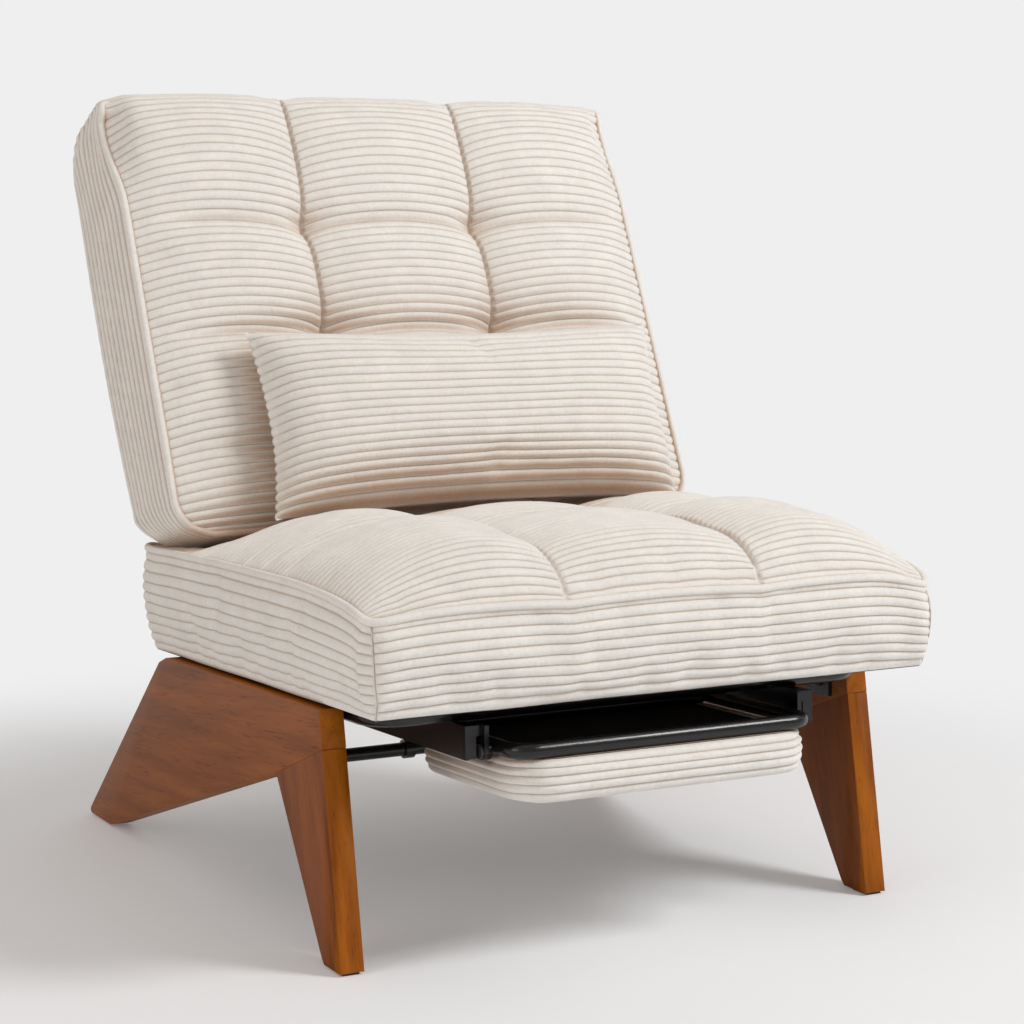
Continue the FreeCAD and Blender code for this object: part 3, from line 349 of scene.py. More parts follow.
def leaning(degrees, y, z):
    # takes points given as X, rearward and up, in a frame that leans to the rear about its
    # origin at y and z, to the chair's own frame
    c, k = math.cos(math.radians(degrees)), math.sin(math.radians(degrees))

    def place(points):
        x, s, n = points[..., 0], points[..., 1], points[..., 2]
        return np.stack([x, y + s * c + n * k, z - s * k + n * c], axis=-1)
    return place


seatSpace = leaning(2.09, -0.29915, 0.260)
backSpace = leaning(24.34, 0.11885, 0.485)

# lengths in metres; stations are places over one wale, beside the columns near a seam in mm
wale = {
    "pitch": 10.7 * mm, "depth": 2.7 * mm, "roundness": 0.7, "lift": 0.5, "flat": 0.62,
    "stations": [0, 0.06, 0.15, 0.29, 0.5, 0.71, 0.85, 0.94], "drift": 0.75 * mm,
    "driftKnots": (9, 9), "beside": (0, 1.2, 2.6, 4.5, 7), "cordSides": 12, "cordCrest": 0.9,
}
stuffing = {"steps": 20, "quality": 6, "bending": 6, "tension": 30, "mass": 0.3}


def placesAlong(length, cells, seams=(), step=8):
    # places in cells and in metres, closer together beside the seams and at both ends
    near = np.array(wale["beside"]) * mm
    marks = {0.0, float(length)}
    for line in (0, *seams, length):
        marks |= {round(float(line + side), 6) for side in np.concatenate([-near, near])
                  if 0 <= line + side <= length + 1e-9}
    marks = sorted(marks)
    places = []
    for low, high in zip(marks, marks[1:]):
        count = max(1, round((high - low) / (step * mm)))
        places += list(np.linspace(low, high, count, endpoint=False))
    places = np.array(places + [length]) / length * cells
    return places, places / cells * length


def nearest(places, lines):
    # the distance from each place to the nearest line
    return np.min([np.abs(places - line) for line in lines], axis=0)


def awayFromEnds(here, reach):
    # 0 at both ends of a run of places, and 1 from the reach on, in millimetres
    return smoothStep(nearest(here, [0, here[-1]]) / (reach * mm))


def awayFromRows(wales, reach):
    # the same down the fine rows of so many wales, as a column
    row = np.arange(wales * len(wale["stations"]) + 1)
    return smoothStep(np.minimum(row, row[::-1]) / reach)[:, None]


class Cushion:
    # a sewn piece: its grids are made in its own frame, swollen, pleated and joined
    def __init__(self, name, space, centre):
        self.name, self.space, self.centre = name, space, np.array(centre, float)
        self.points, self.faces, self.crests, self.slots = [], [], [], []
        self.count = 0

    def faceOut(self, grid):
        normal = slopes(grid)[0]
        return 1 if np.sum(normal * (grid - self.centre)) > 0 else -1

    def add(self, grid, crest=None, slot=0, outward=None, closed=False):
        rows, columns = grid.shape[:2]
        crest = np.ones((rows, columns)) if crest is None else crest
        index = self.count + np.arange(rows * columns).reshape(rows, columns)
        if closed:
            index = np.hstack([index, index[:, :1]])
        outward = self.faceOut(grid) if outward is None else outward
        faces = cellFaces(index, outward < 0)
        self.points.append(self.space(grid).reshape(-1, 3))
        self.crests.append(crest.reshape(-1))
        self.faces.append(faces)
        self.slots.append(np.full(len(faces), slot))
        self.count += rows * columns

    def stuff(self, grids, pins, own):
        # swells the closed skin as cloth; pins say how firmly each point is held
        points, indexes, seen = [], [], {}
        for grid in grids:
            index = np.empty(grid.shape[:2], int)
            for place in np.ndindex(index.shape):
                key = tuple(np.round(grid[place], 6))
                if key not in seen:
                    seen[key] = len(points)
                    points.append(grid[place])
                index[place] = seen[key]
            indexes.append(index)
        points = np.array(points)
        quads = np.concatenate([cellFaces(index, self.faceOut(grid) < 0)
                                for index, grid in zip(indexes, grids)])
        mesh = bpy.data.meshes.new(self.name + "Skin")
        mesh.from_pydata(points.tolist(), [], quads.tolist())
        skin = bpy.data.objects.new(self.name + "Skin", mesh)
        scene.collection.objects.link(skin)
        held = np.zeros(len(points))
        for index, pin in zip(indexes, pins):
            np.maximum.at(held, index.ravel(), pin.ravel())
        group = skin.vertex_groups.new(name="held")
        for i in np.flatnonzero(held):
            group.add([int(i)], float(held[i]), "REPLACE")
        cloth = skin.modifiers.new("cloth", "CLOTH")
        settings = cloth.settings
        settings.quality = stuffing["quality"]
        settings.mass = stuffing["mass"]
        settings.tension_stiffness = settings.compression_stiffness = stuffing["tension"]
        settings.shear_stiffness = stuffing["tension"] / 2
        settings.bending_stiffness = stuffing["bending"]
        settings.use_pressure = True
        settings.uniform_pressure_force = own["pressure"]
        settings.shrink_min = -own["slack"]
        settings.vertex_group_mass = "held"
        settings.effector_weights.gravity = 0
        cloth.point_cache.frame_start = 1
        cloth.point_cache.frame_end = stuffing["steps"]
        for step in range(1, stuffing["steps"] + 1):
            scene.frame_set(step)
        swollen = skin.evaluated_get(bpy.context.evaluated_depsgraph_get()).to_mesh()
        moved = np.empty(len(points) * 3)
        swollen.vertices.foreach_get("co", moved)
        travel = moved.reshape(-1, 3) - points
        length = np.maximum(np.linalg.norm(travel, axis=1, keepdims=True), 1e-9)
        travel *= np.minimum(1, own["swell"] * mm / length)
        bpy.data.objects.remove(skin)
        scene.frame_set(1)
        print(self.name, "stuffed: points moved up to", round(float(length.max()) / mm, 1), "mm")
        return [(points + travel)[index] for index in indexes]

    def pleat(self, coarse, count, places, seed, mask=1, sink=0, shift=0, bend=None,
              deeper=1, flankShade=1):
        # corduroy over a coarse grid, its wales side by side down the rows; mask, sink and
        # shift are numbers or fields over the fine grid
        phase = np.array([i + t for i in range(count) for t in wale["stations"]] + [count], float)
        crest = np.abs(np.sin(np.pi * phase)) ** wale["roundness"]
        fine = refine(coarse, phase / count * (coarse.shape[0] - 1), places)
        crest = np.repeat(crest[:, None], len(places), axis=1)
        if bend is not None:
            fine = bend(fine)
        normal, down, _ = slopes(fine)
        outward = self.faceOut(fine)
        drift = wale["drift"] * wander(*fine.shape[:2], wale["driftKnots"], seed) + shift
        fine = fine + down * drift[..., None]
        height = deeper * wale["depth"] * (crest * mask - wale["lift"]) - sink
        fine = fine + outward * normal * height[..., None]
        # a power on the crest widens the darker valley tone over the wales' flanks, a painted
        # shade
        self.add(fine, crest ** flankShade * mask + wale["flat"] * (1 - mask), 0, outward)

    def piping(self, path, radius, closed):
        # a round cord under smooth cloth along a path
        travel = (np.roll(path, -1, axis=0) - np.roll(path, 1, axis=0) if closed
                  else np.gradient(path, axis=0))
        travel /= np.linalg.norm(travel, axis=1, keepdims=True)
        sides = wale["cordSides"]
        up = np.array([0.31, 0.17, 0.93])
        turns = np.linspace(0, 2 * math.pi, sides, endpoint=False)
        rings = []
        for i, point in enumerate(path):
            up = up - travel[i] * (up @ travel[i])
            up = up / np.linalg.norm(up)
            side = np.cross(travel[i], up)
            rings.append(point + radius * (np.outer(np.cos(turns), up)
                                           + np.outer(np.sin(turns), side)))
        if closed:
            # the last ring turns onto the first one's nearest vertices
            turn = int(np.argmin([np.sum((np.roll(rings[0], k, axis=0) - rings[-1]) ** 2)
                                  for k in range(sides)]))
            rings.append(np.roll(rings[0], turn, axis=0))
        self.add(np.stack(rings), np.full((len(rings), sides), wale["cordCrest"]), 0, 1, True)

    def build(self, body, slot, replaced, fill, *finishes):
        mesh = bpy.data.meshes.new(self.name)
        points = np.concatenate(self.points)
        faces = np.concatenate(self.faces)
        mesh.vertices.add(len(points))
        mesh.vertices.foreach_set("co", points.astype(np.float32).ravel())
        mesh.loops.add(faces.size)
        mesh.loops.foreach_set("vertex_index", faces.astype(np.int32).ravel())
        mesh.polygons.add(len(faces))
        mesh.polygons.foreach_set("loop_start", np.arange(0, faces.size, 4, dtype=np.int32))
        mesh.polygons.foreach_set("material_index", np.concatenate(self.slots).astype(np.int32))
        mesh.polygons.foreach_set("use_smooth", np.ones(len(faces), bool))
        crest = mesh.attributes.new("crest", "FLOAT", "POINT")
        crest.data.foreach_set("value", np.concatenate(self.crests).astype(np.float32))
        mesh.update()
        mesh.validate()
        for finish in finishes:
            mesh.materials.append(materials[finish])
        piece = bpy.data.objects.new(self.name, mesh)
        scene.collection.objects.link(piece)
        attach(piece, body)
        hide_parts(*replaced)
        print(self.name, "sewn,", len(faces), "faces")


def lengthsAlong(points):
    # the length of a path up to each of its points
    return np.concatenate([[0], np.cumsum(np.linalg.norm(np.diff(points, axis=0), axis=1))])


def placesOver(strip, step=8):
    # places along a strip with no seams, as long as its first row
    length = float(np.sum(np.linalg.norm(np.diff(strip[0], axis=0), axis=1)))
    return placesAlong(length, strip.shape[1] - 1, (), step)


def resampled(table, lengths, places, easing):
    # the rows of a table at places along its path, eased between the ends
    rows = np.stack([np.interp(places, lengths, column) for column in table.T], axis=1)
    for _ in range(easing):
        rows[1:-1] = (rows[:-2] + 2 * rows[1:-1] + rows[2:]) / 4
    return rows


def alongProfile(table, cell):
    # evenly spaced and eased rows of a table whose first two columns are a path
    table = np.array(table, float)
    lengths = lengthsAlong(table[:, :2])
    places = np.linspace(0, lengths[-1], int(round(lengths[-1] / cell)) + 1)
    return resampled(table, lengths, places, 2)


def evenPath(points, step, closed, easing=0):
    # the same path with points so many millimetres apart, its corners eased
    if closed:
        points = np.concatenate([points, points[:1]])
    lengths = lengthsAlong(points)
    count = max(8, int(lengths[-1] / (step * mm)))
    places = np.linspace(0, lengths[-1], count, endpoint=not closed)
    path = resampled(points, lengths, places, 0 if closed else easing)
    for _ in range(easing if closed else 0):
        path = (np.roll(path, 1, axis=0) + 2 * path + np.roll(path, -1, axis=0)) / 4
    return path


def ringOf(grid):
    # the border of a grid: along row 0, up the last column, back and down
    return np.concatenate([grid[0, :-1], grid[:-1, -1], grid[-1, :0:-1], grid[:0:-1, 0]])


def outwardOf(ring, fall):
    # unit directions out of a ring of points that falls away along fall
    travel = np.roll(ring, -1, axis=0) - np.roll(ring, 1, axis=0)
    out = np.cross(fall, travel)
    out /= np.linalg.norm(out, axis=1, keepdims=True)
    return out if np.sum((ring - ring.mean(axis=0)) * out) > 0 else -out


def boxing(face, base, rows, own):
    # a strip from the border of a face to that of its base, bulging between them
    top, low = ringOf(face), ringOf(base)
    out = outwardOf(top, low - top)
    # the corners stand out as far as the sides that meet there
    left, right = own["cornerOut"]
    tall, wide = face.shape[:2]
    for place, more in ((0, left), (wide - 1, right), (wide + tall - 2, right),
                        (2 * wide + tall - 3, left)):
        for step in range(-2, 3):
            out[(place + step) % len(out)] *= 1 + (more - 1) * (1 - abs(step) / 3)
    bulge = own["bulge"] * mm
    strip = np.stack([top + (low - top) * t + out * (bulge * (1 - abs(2 * t - 1) ** 2.4))
                      for t in np.linspace(0, 1, rows)])
    return np.concatenate([strip, strip[:, :1]], axis=1)


def sidesOf(strip, face):
    # the four sides of a boxing, in the order of its ring
    counts = [face.shape[1] - 1, face.shape[0] - 1] * 2
    starts = np.concatenate([[0], np.cumsum(counts)])
    return [strip[:, low:high + 1] for low, high in zip(starts, starts[1:])]


def cornerRounder(own):
    # gives a block quarter circles for the corners of its plan
    reach, middle = own["corner"] * mm, (own["front"] + own["length"] / 2) * mm
    flatX, flatS = own["half"] * mm - reach, own["length"] * mm / 2 - reach

    def roundCorners(grid):
        x, s = grid[..., 0], grid[..., 1] - middle
        a, b = (np.abs(x) - flatX) / reach, (np.abs(s) - flatS) / reach
        inside = (a > 0) & (b > 0)
        ca, cb = np.clip(a, 0, 1), np.clip(b, 0, 1)
        newX = np.sign(x) * (flatX + reach * a * np.sqrt(1 - cb ** 2 / 2))
        newS = np.sign(s) * (flatS + reach * b * np.sqrt(1 - ca ** 2 / 2))
        turned = grid.copy()
        turned[..., 0] = np.where(inside, newX, x)
        turned[..., 1] = np.where(inside, newS, s) + middle
        return turned
    return roundCorners


# in millimetres in the seat's frame; inside is a point within the piece, in metres
seat = {
    "front": -123, "length": 627, "half": 330, "seam": 112, "high": 180.8, "base": 2.8,
    "inside": (0, 0.18, 0.08), "cell": 12, "cells": 18, "puff": 0.95, "footInset": 9,
    "bulge": 9, "boxRows": 10, "corner": 20, "cornerOut": (1.3, 1.9),
    "droop": 9, "droopWide": 45, "droopLeft": 0.25, "lower": 10, "lowerOver": 260,
    "lowerFade": 60, "tuftRows": (120, 260), "tuftDeep": 8, "tuftWide": 26,
    "creaseDeep": 3.5, "creaseWide": 14, "creaseFade": 120,
    "pressure": 3.0, "slack": 0.006, "swell": 3.5, "edgePin": 0.9, "seamPin": 0.35,
    "wales": 68, "boxWales": 10, "columnShifts": (0.0, 0.42, 0.15), "shiftRows": 16,
    "seamDeep": 2.2, "seamWide": 2.2, "seamFlat": 0.8, "seamFade": 3.5, "edgeFade": 4,
    "sideShift": 1.2, "sideShiftRows": 10, "sideFade": 3, "coverLift": 0.4,
    "piping": 4.4, "pipingOut": 1.5,
    # share of the length, then shares of the height at the piping, seams and crowns
    "profile": [
        (0.000, 0.539, 0.547, 0.567), (0.021, 0.572, 0.672, 0.711), (0.053, 0.594, 0.767, 0.833),
        (0.097, 0.611, 0.828, 0.917), (0.164, 0.633, 0.844, 0.944), (0.220, 0.645, 0.886, 0.986),
        (0.276, 0.656, 0.900, 1.000), (0.332, 0.659, 0.893, 0.993), (0.388, 0.661, 0.861, 0.965),
        (0.444, 0.664, 0.893, 0.990), (0.499, 0.667, 0.900, 0.997), (0.555, 0.667, 0.890, 0.985),
        (0.611, 0.667, 0.860, 0.950), (0.660, 0.667, 0.860, 0.935), (0.710, 0.667, 0.835, 0.890),
        (0.755, 0.667, 0.783, 0.830), (0.797, 0.667, 0.731, 0.762), (0.834, 0.667, 0.711, 0.731),
        (0.882, 0.664, 0.678, 0.682), (0.939, 0.658, 0.660, 0.662), (1.000, 0.672, 0.673, 0.674)],
}


def columnsAcross(half, seam, cells):
    # places across three columns that meet at two seams
    return np.concatenate([np.linspace(-half, -seam, cells + 1)[:-1],
                           np.linspace(-seam, seam, cells + 1),
                           np.linspace(seam, half, cells + 1)[1:]])


def crownAcross(x, half, seam, edgeLevel, seamLevel, crownLevel, puff):
    # level across the three columns, puffed up between the edges and the seams
    outer = np.clip((np.abs(x) - seam) / (half - seam), 0, 1)
    inner = np.clip(np.abs(x) / seam, 0, 1)
    outerRise = (4 * outer * (1 - outer)) ** puff
    innerRise = (1 - inner ** 2) ** puff
    chord = seamLevel * (1 - outer) + edgeLevel * outer
    rise = np.where(np.abs(x) > seam, outerRise * (crownLevel - (edgeLevel + seamLevel) / 2),
                    innerRise * (crownLevel - seamLevel))
    return chord + rise


def makeSeat():
    own = seat
    high, half = own["high"], own["half"]
    rows = alongProfile([(own["front"] + along * own["length"], crown * high, edge * high,
                          seamLevel * high)
                         for along, edge, seamLevel, crown in own["profile"]], own["cell"])
    x = columnsAcross(half, own["seam"], own["cells"])
    face = np.zeros((len(rows), len(x), 3))
    for i, (s, crown, edge, seamLevel) in enumerate(rows):
        face[i, :, 0], face[i, :, 1] = x, s
        face[i, :, 2] = own["base"] + crownAcross(x, half, own["seam"], edge, seamLevel, crown,
                                                  own["puff"])
    s, across = face[..., 1], face[..., 0]
    fromSeam = np.abs(np.abs(across) - own["seam"])
    fromSide = half - np.abs(across)
    for row in own["tuftRows"]:
        face[..., 2] -= own["tuftDeep"] * bell(np.hypot(fromSeam, s - row), own["tuftWide"])
        inside = smoothStep(fromSide / own["creaseFade"])
        face[..., 2] -= own["creaseDeep"] * bell(s - row, own["creaseWide"]) * inside
    inside = smoothStep(fromSide / own["lowerFade"])
    face[..., 2] -= own["lower"] * smoothStep((s - own["front"]) / own["lowerOver"]) * inside
    # the shoulders slope down to the front corners
    toCorner = np.hypot(np.abs(across) - half, s - own["front"])
    sag = np.where(across > 0, 1.0, own["droopLeft"])
    face[..., 2] -= own["droop"] * sag * bell(toCorner, own["droopWide"])
    face *= mm
    base = face.copy()
    base[..., 0] *= 1 - own["footInset"] / half
    middle = (own["front"] + own["length"] / 2) * mm
    base[..., 1] = middle + (base[..., 1] - middle) * (1 - 2 * own["footInset"] / own["length"])
    base[..., 2] = own["base"] * mm
    skirt = boxing(face, base, own["boxRows"], own)
    cushion = Cushion("seatCushion", seatSpace, own["inside"])
    facePin = own["seamPin"] * (fromSeam < 1)
    facePin[0] = facePin[-1] = facePin[:, 0] = facePin[:, -1] = own["edgePin"]
    skirtPin = np.zeros(skirt.shape[:2])
    skirtPin[0], skirtPin[-1] = own["edgePin"], 1
    face, skirt, base = cushion.stuff([face, skirt, base],
                                      [facePin, skirtPin, np.ones(base.shape[:2])], own)

    roundCorners = cornerRounder(own)
    seams = [(half - own["seam"]) * mm, (half + own["seam"]) * mm]
    places, here = placesAlong(2 * half * mm, face.shape[1] - 1, seams)
    toSeam = nearest(here, seams)
    mask = smoothStep((toSeam - own["seamFlat"] * mm) / (own["seamFade"] * mm))
    mask = mask * awayFromEnds(here, own["edgeFade"])
    column = (here > seams[0]).astype(int) + (here > seams[1]).astype(int)
    fade = awayFromRows(own["wales"], own["shiftRows"])
    shift = fade * np.array(own["columnShifts"])[column] * wale["pitch"]
    sink = fade * (own["seamDeep"] * mm * bell(toSeam, own["seamWide"] * mm))
    cushion.pleat(face, own["wales"], places, 11, mask, sink, shift, roundCorners)
    fade = awayFromRows(own["boxWales"], own["sideShiftRows"])
    for number, side in enumerate(sidesOf(skirt, face)):
        places, here = placesOver(side)
        shift = fade * ((-1, 1)[number % 2] * own["sideShift"] * mm)
        cushion.pleat(side, own["boxWales"], places, 20 + number,
                      awayFromEnds(here, own["sideFade"]), 0, shift, roundCorners)
    cushion.add(base[::2, ::2] + np.array([0, 0, own["coverLift"] * mm]), None, 1)
    ring = ringOf(face)
    ring = ring + outwardOf(ring, ringOf(base) - ring) * own["pipingOut"] * mm
    path = roundCorners(evenPath(ring, 3, True)[None])[0]
    cushion.piping(evenPath(path, 5, True, 3), own["piping"] * mm, True)
    cushion.build("chair", "corduroy", ["seat_cushion"], 0.8, "corduroy", "dustCover")


makeSeat()


# in millimetres in the back's frame, where rows, froms and the corner's turn are heights
back = {
    "bottom": -100, "length": 556, "half": 334, "seam": 113, "thick": 150, "crown": 30,
    "inside": (0, 0.075, 0.17), "corner": 42, "topCorner": 3, "cell": 12, "cells": 18,
    "puff": 0.85, "overTopFrom": 441,
    # the side edges curve away to the rear near the top, less so at the very top
    "setBack": 34, "setBackFrom": 300, "setBackOver": 115, "setBackWide": 36,
    "setBackLess": 0.5, "lessFrom": 424, "lessOver": 16, "setBackRight": 0.4,
    "endFrom": 10, "endOver": 50,
    "arch": 7, "archTop": 0.9, "archTopFrom": 300, "archTopOver": 80,
    "topDrop": 3, "topDropFrom": 215, "topDropOver": 95, "seamDip": 4, "seamDipWide": 26,
    "tuftRows": (-5, 135, 275), "tuftDeep": 10, "tuftWide": 22, "creaseDeep": 7,
    "creaseWide": 9, "creaseFade": 100, "bulge": 2.5, "footUp": 11, "footRear": 100,
    "footHigh": 60, "pressure": 3.0, "slack": 0.006, "swell": 5, "edgePin": 0.9, "topPin": 0.4,
    "sidePin": 0.95, "seamHold": 5, "seamHoldWide": 8, "wales": 66, "boxWales": 11,
    # the boxing's wales are deeper, and their flanks take more valley tone as painted shade
    "boxDeeper": 1.25, "boxFlankShade": 2.6, "rearWales": 48, "seamDeep": 3.2, "seamWide": 2.0,
    "seamFlat": 0.5, "seamFade": 2.6, "edgeFade": 4, "sideFade": 3, "sideStep": 7,
    "piping": 4.4, "pipingDive": (0, 7, -2), "pipingOut": (0, -1, 0),
    # place up the back, then the front edge and rear face as shares of the thickness, and
    # how far seams and crowns stand forward as shares of the crown
    "profile": [
        (0.000, 0.060, 0.400, 0.10, 0.15), (0.015, 0.013, 0.607, 0.30, 0.40),
        (0.045, 0.000, 0.783, 0.30, 0.60), (0.099, 0.000, 0.916, 0.25, 0.75),
        (0.171, 0.000, 0.953, 0.05, 0.65), (0.234, 0.000, 0.985, 0.34, 0.94),
        (0.297, 0.000, 1.010, 0.40, 1.00), (0.360, 0.000, 1.034, 0.34, 0.94),
        (0.423, 0.000, 1.050, 0.05, 0.65), (0.486, 0.000, 1.062, 0.34, 0.94),
        (0.549, 0.000, 1.066, 0.40, 1.00), (0.612, 0.000, 1.068, 0.34, 0.94),
        (0.674, 0.000, 1.066, 0.05, 0.65), (0.742, 0.000, 1.060, 0.34, 0.90),
        (0.809, 0.000, 1.050, 0.40, 0.95), (0.870, 0.000, 1.036, 0.36, 0.84),
        (0.920, 0.000, 1.018, 0.28, 0.62), (0.962, 0.000, 0.980, 0.20, 0.35),
        (0.989, 0.030, 0.867, 0.10, 0.15), (1.000, 0.130, 0.680, 0.05, 0.08)],
    # over the top, from its front edge to the rear: thickness share and height share
    "overTop": [(0.40, 1.003), (0.68, 1.000), (0.867, 0.989), (0.980, 0.962), (1.018, 0.920)],
}


def rearFace(place):
    # how far to the rear the back's rear face lies at a place up the back, in millimetres
    table = np.array([(back["bottom"] + row[0] * back["length"], row[2] * back["thick"])
                      for row in back["profile"]])
    return np.interp(place, table[:, 0], table[:, 1])


def backFront():
    # the front and the part over the top, and the row where the one turns into the other
    own = back
    thick, crown, seam = own["thick"], own["crown"], own["seam"]
    table = [(front * thick - crownShare * crown, own["bottom"] + along * own["length"],
              front * thick, front * thick - seamShare * crown)
             for along, front, _, seamShare, crownShare in own["profile"]]
    table += [(w * thick, own["bottom"] + along * own["length"], w * thick, w * thick)
              for w, along in own["overTop"]]
    rows = alongProfile(table, own["cell"])
    corner = int(np.argmax(rows[:, 1] > own["overTopFrom"]))
    face = np.zeros((len(rows), 3 * own["cells"] + 1, 3))
    top = own["bottom"] + own["length"]
    for i, (crownW, a, edgeW, seamW) in enumerate(rows):
        low = max(0.0, own["bottom"] + own["corner"] - a)
        half = own["half"] - own["corner"] + math.sqrt(max(0, own["corner"] ** 2 - low ** 2))
        high = min(max(0.0, a - top + own["topCorner"]), own["topCorner"] * 0.97)
        half -= own["topCorner"] - math.sqrt(max(0, own["topCorner"] ** 2 - high ** 2))
        x = columnsAcross(half, seam, own["cells"])
        w = crownAcross(x, half, seam, edgeW, seamW, crownW, own["puff"])
        away = own["setBack"] * smoothStep((a - own["setBackFrom"]) / own["setBackOver"])
        away = away * (1 - own["setBackLess"] * smoothStep((a - own["lessFrom"])
                                                           / own["lessOver"]))
        if i > corner - 3:
            away = away * (1 - smoothStep((edgeW - own["endFrom"]) / own["endOver"]))
        away = away * np.where(x < 0, 1, own["setBackRight"])
        w = w + away * smoothStep(1 - (half - np.abs(x)) / own["setBackWide"]) ** 1.5
        face[i, :, 0], face[i, :, 1], face[i, :, 2] = x, w, a
        if i <= corner:
            lift = crownAcross(x, half, seam, 0, 0, 1, 1)
            fade = float(smoothStep(i / 5) * smoothStep((corner - i) / 6))
            more = float(smoothStep((a - own["archTopFrom"]) / own["archTopOver"]))
            more = 1 + own["archTop"] * more
            face[i, :, 2] += own["arch"] * more * (lift - 0.4) * fade
    a, across = face[..., 2], np.abs(face[..., 0])
    fromSeam = np.abs(across - seam)
    # the top edge falls to its corners and dips at the seams
    topRows = smoothStep((np.arange(len(rows)) - corner + 5) / 5)[:, None]
    drop = own["topDrop"] * smoothStep((across - own["topDropFrom"]) / own["topDropOver"])
    a -= topRows * (drop + own["seamDip"] * bell(fromSeam, own["seamDipWide"]))
    inside = smoothStep((own["half"] - across) / own["creaseFade"])
    for row in own["tuftRows"]:
        pit = own["tuftDeep"] * bell(np.hypot(fromSeam, a - row), own["tuftWide"])
        face[..., 1] += pit + own["creaseDeep"] * bell(a - row, own["creaseWide"]) * inside
    return face * mm, corner, fromSeam


def backStrip(face, corner):
    # the boxing: down the left side, along the bottom and up the right
    own = back

    def rearOf(point):
        place = point[2] / mm
        low = float(smoothStep((own["bottom"] + own["footHigh"] - place) / own["footHigh"]))
        return np.array([point[0], (rearFace(place) * (1 - low) + own["footRear"] * low) * mm,
                         point[2] + own["footUp"] * low * mm])

    frontPath = np.concatenate([face[corner::-1, 0], face[0, 1:-1], face[:corner + 1, -1]])
    rearPath = np.array([rearOf(point) for point in frontPath])
    rearPath[0], rearPath[-1] = face[-1, 0], face[-1, -1]
    for i in range(1, 7):
        # the rear edge climbs evenly to the end of the part over the top
        share = float(smoothStep(1 - i / 7))
        for place, end, first in ((i, face[-1, 0], 0), (-1 - i, face[-1, -1], -1)):
            rearPath[place][2] += (end[2] - frontPath[first][2]) * share
            rearPath[place][1] = rearFace(rearPath[place][2] / mm) * mm
    travel = np.gradient(frontPath, axis=0)
    out = np.stack([travel[:, 2], 0 * travel[:, 0], -travel[:, 0]], axis=1)
    out /= np.linalg.norm(out, axis=1, keepdims=True)
    over = [face[corner:, 0], face[corner:, -1]]
    deep, count = len(over[0]), len(frontPath)
    place = np.arange(count)
    strip = np.zeros((deep, count, 3))
    for j in range(deep):
        t = j / (deep - 1)
        bulge = own["bulge"] * mm * (1 - abs(2 * t - 1) ** 3)
        strip[j] = frontPath + (rearPath - frontPath) * t
        strip[j] += out * (bulge * smoothStep(np.minimum(place, place[::-1]) / 3))[:, None]
        for line, fromEnd in zip(over, (place, place[::-1])):
            gap = line[j] - (line[0] + (line[-1] - line[0]) * t)
            strip[j] += smoothStep(1 - fromEnd / 9)[:, None] * gap
    strip[0] = frontPath
    strip[:, 0], strip[:, -1] = over
    return strip


def makeBack():
    own = back
    face, corner, fromSeam = backFront()
    strip = backStrip(face, corner)
    # the rear runs between the rear edges of the two sides
    count, columns = strip.shape[1], face.shape[1]
    shares = ((columnsAcross(1, own["seam"] / own["half"], own["cells"]) + 1) / 2)[None, :, None]
    left, right = strip[-1, :corner + 1][::-1], strip[-1, count - corner - 1:]
    rear = left[:, None] * (1 - shares) + right[:, None] * shares
    rear[-1] = face[-1]
    rear[0] = strip[-1, corner:corner + columns]
    cushion = Cushion("backCushion", backSpace, own["inside"])
    # the seams are held all the way up, a little less so higher up
    hold = np.hypot(fromSeam, own["seamHold"] + face[..., 2])
    facePin = bell(hold, own["seamHoldWide"])
    facePin[corner:] = np.maximum(facePin[corner:], own["topPin"])
    facePin[0] = facePin[:, 0] = facePin[:, -1] = own["edgePin"]
    pins = [facePin, np.full(strip.shape[:2], own["sidePin"]), np.ones(rear.shape[:2])]
    face, strip, rear = cushion.stuff([face, strip, rear], pins, own)

    width = 2 * own["half"] * mm
    seams = [(own["half"] - own["seam"]) * mm, (own["half"] + own["seam"]) * mm]
    here = placesAlong(width, columns - 1, seams)[1]
    # the seams stay on their cells in every row
    places = np.interp(here, [0, *seams, width], np.arange(4) * own["cells"])
    share = np.linspace(0, 1, own["wales"] * len(wale["stations"]) + 1) * (len(face) - 1)
    inFront = (smoothStep(share / 3) * smoothStep((corner + 5 - share) / 5))[:, None]
    toSeam = nearest(here, seams)
    flat = 1 - smoothStep((toSeam - own["seamFlat"] * mm) / (own["seamFade"] * mm))
    edge = awayFromEnds(here, own["edgeFade"])
    sink = inFront * (own["seamDeep"] * mm * bell(toSeam, own["seamWide"] * mm))
    cushion.pleat(face, own["wales"], places, 31, (1 - inFront * flat) * edge, sink)
    sidePlaces, here = placesOver(strip, own["sideStep"])
    # the boxing's wale flanks carry painted shade as a wider valley tone
    cushion.pleat(strip, own["boxWales"], sidePlaces, 32, awayFromEnds(here, own["sideFade"]),
                  deeper=own["boxDeeper"], flankShade=own["boxFlankShade"])
    cushion.pleat(rear, own["rearWales"], places, 33, edge)
    # the piping's ends curl in over the top corners and dive into the seam there
    dive = np.array(own["pipingDive"]) * mm
    path = np.concatenate([[face[corner, 1] + dive, face[corner, 0]], strip[0, 1:-1],
                           [face[corner, -1], face[corner, -2] + dive]])
    path = evenPath(path, 3, False, 4) + np.array(own["pipingOut"]) * mm
    cushion.piping(path, own["piping"] * mm, False)
    cushion.build("backrest", "corduroy", ["back_cushion"], 0.8, "corduroy")


makeBack()
print("seat and back done")


backPanel = {
    "half": 286.7, "low": 26, "high": 403.7, "proud": 3.0, "sunk": 1, "edge": 12,
    "inside": (0, 0.05, 0.2), "columns": 41, "rows": 33, "wales": 35, "edgeFade": 5,
}


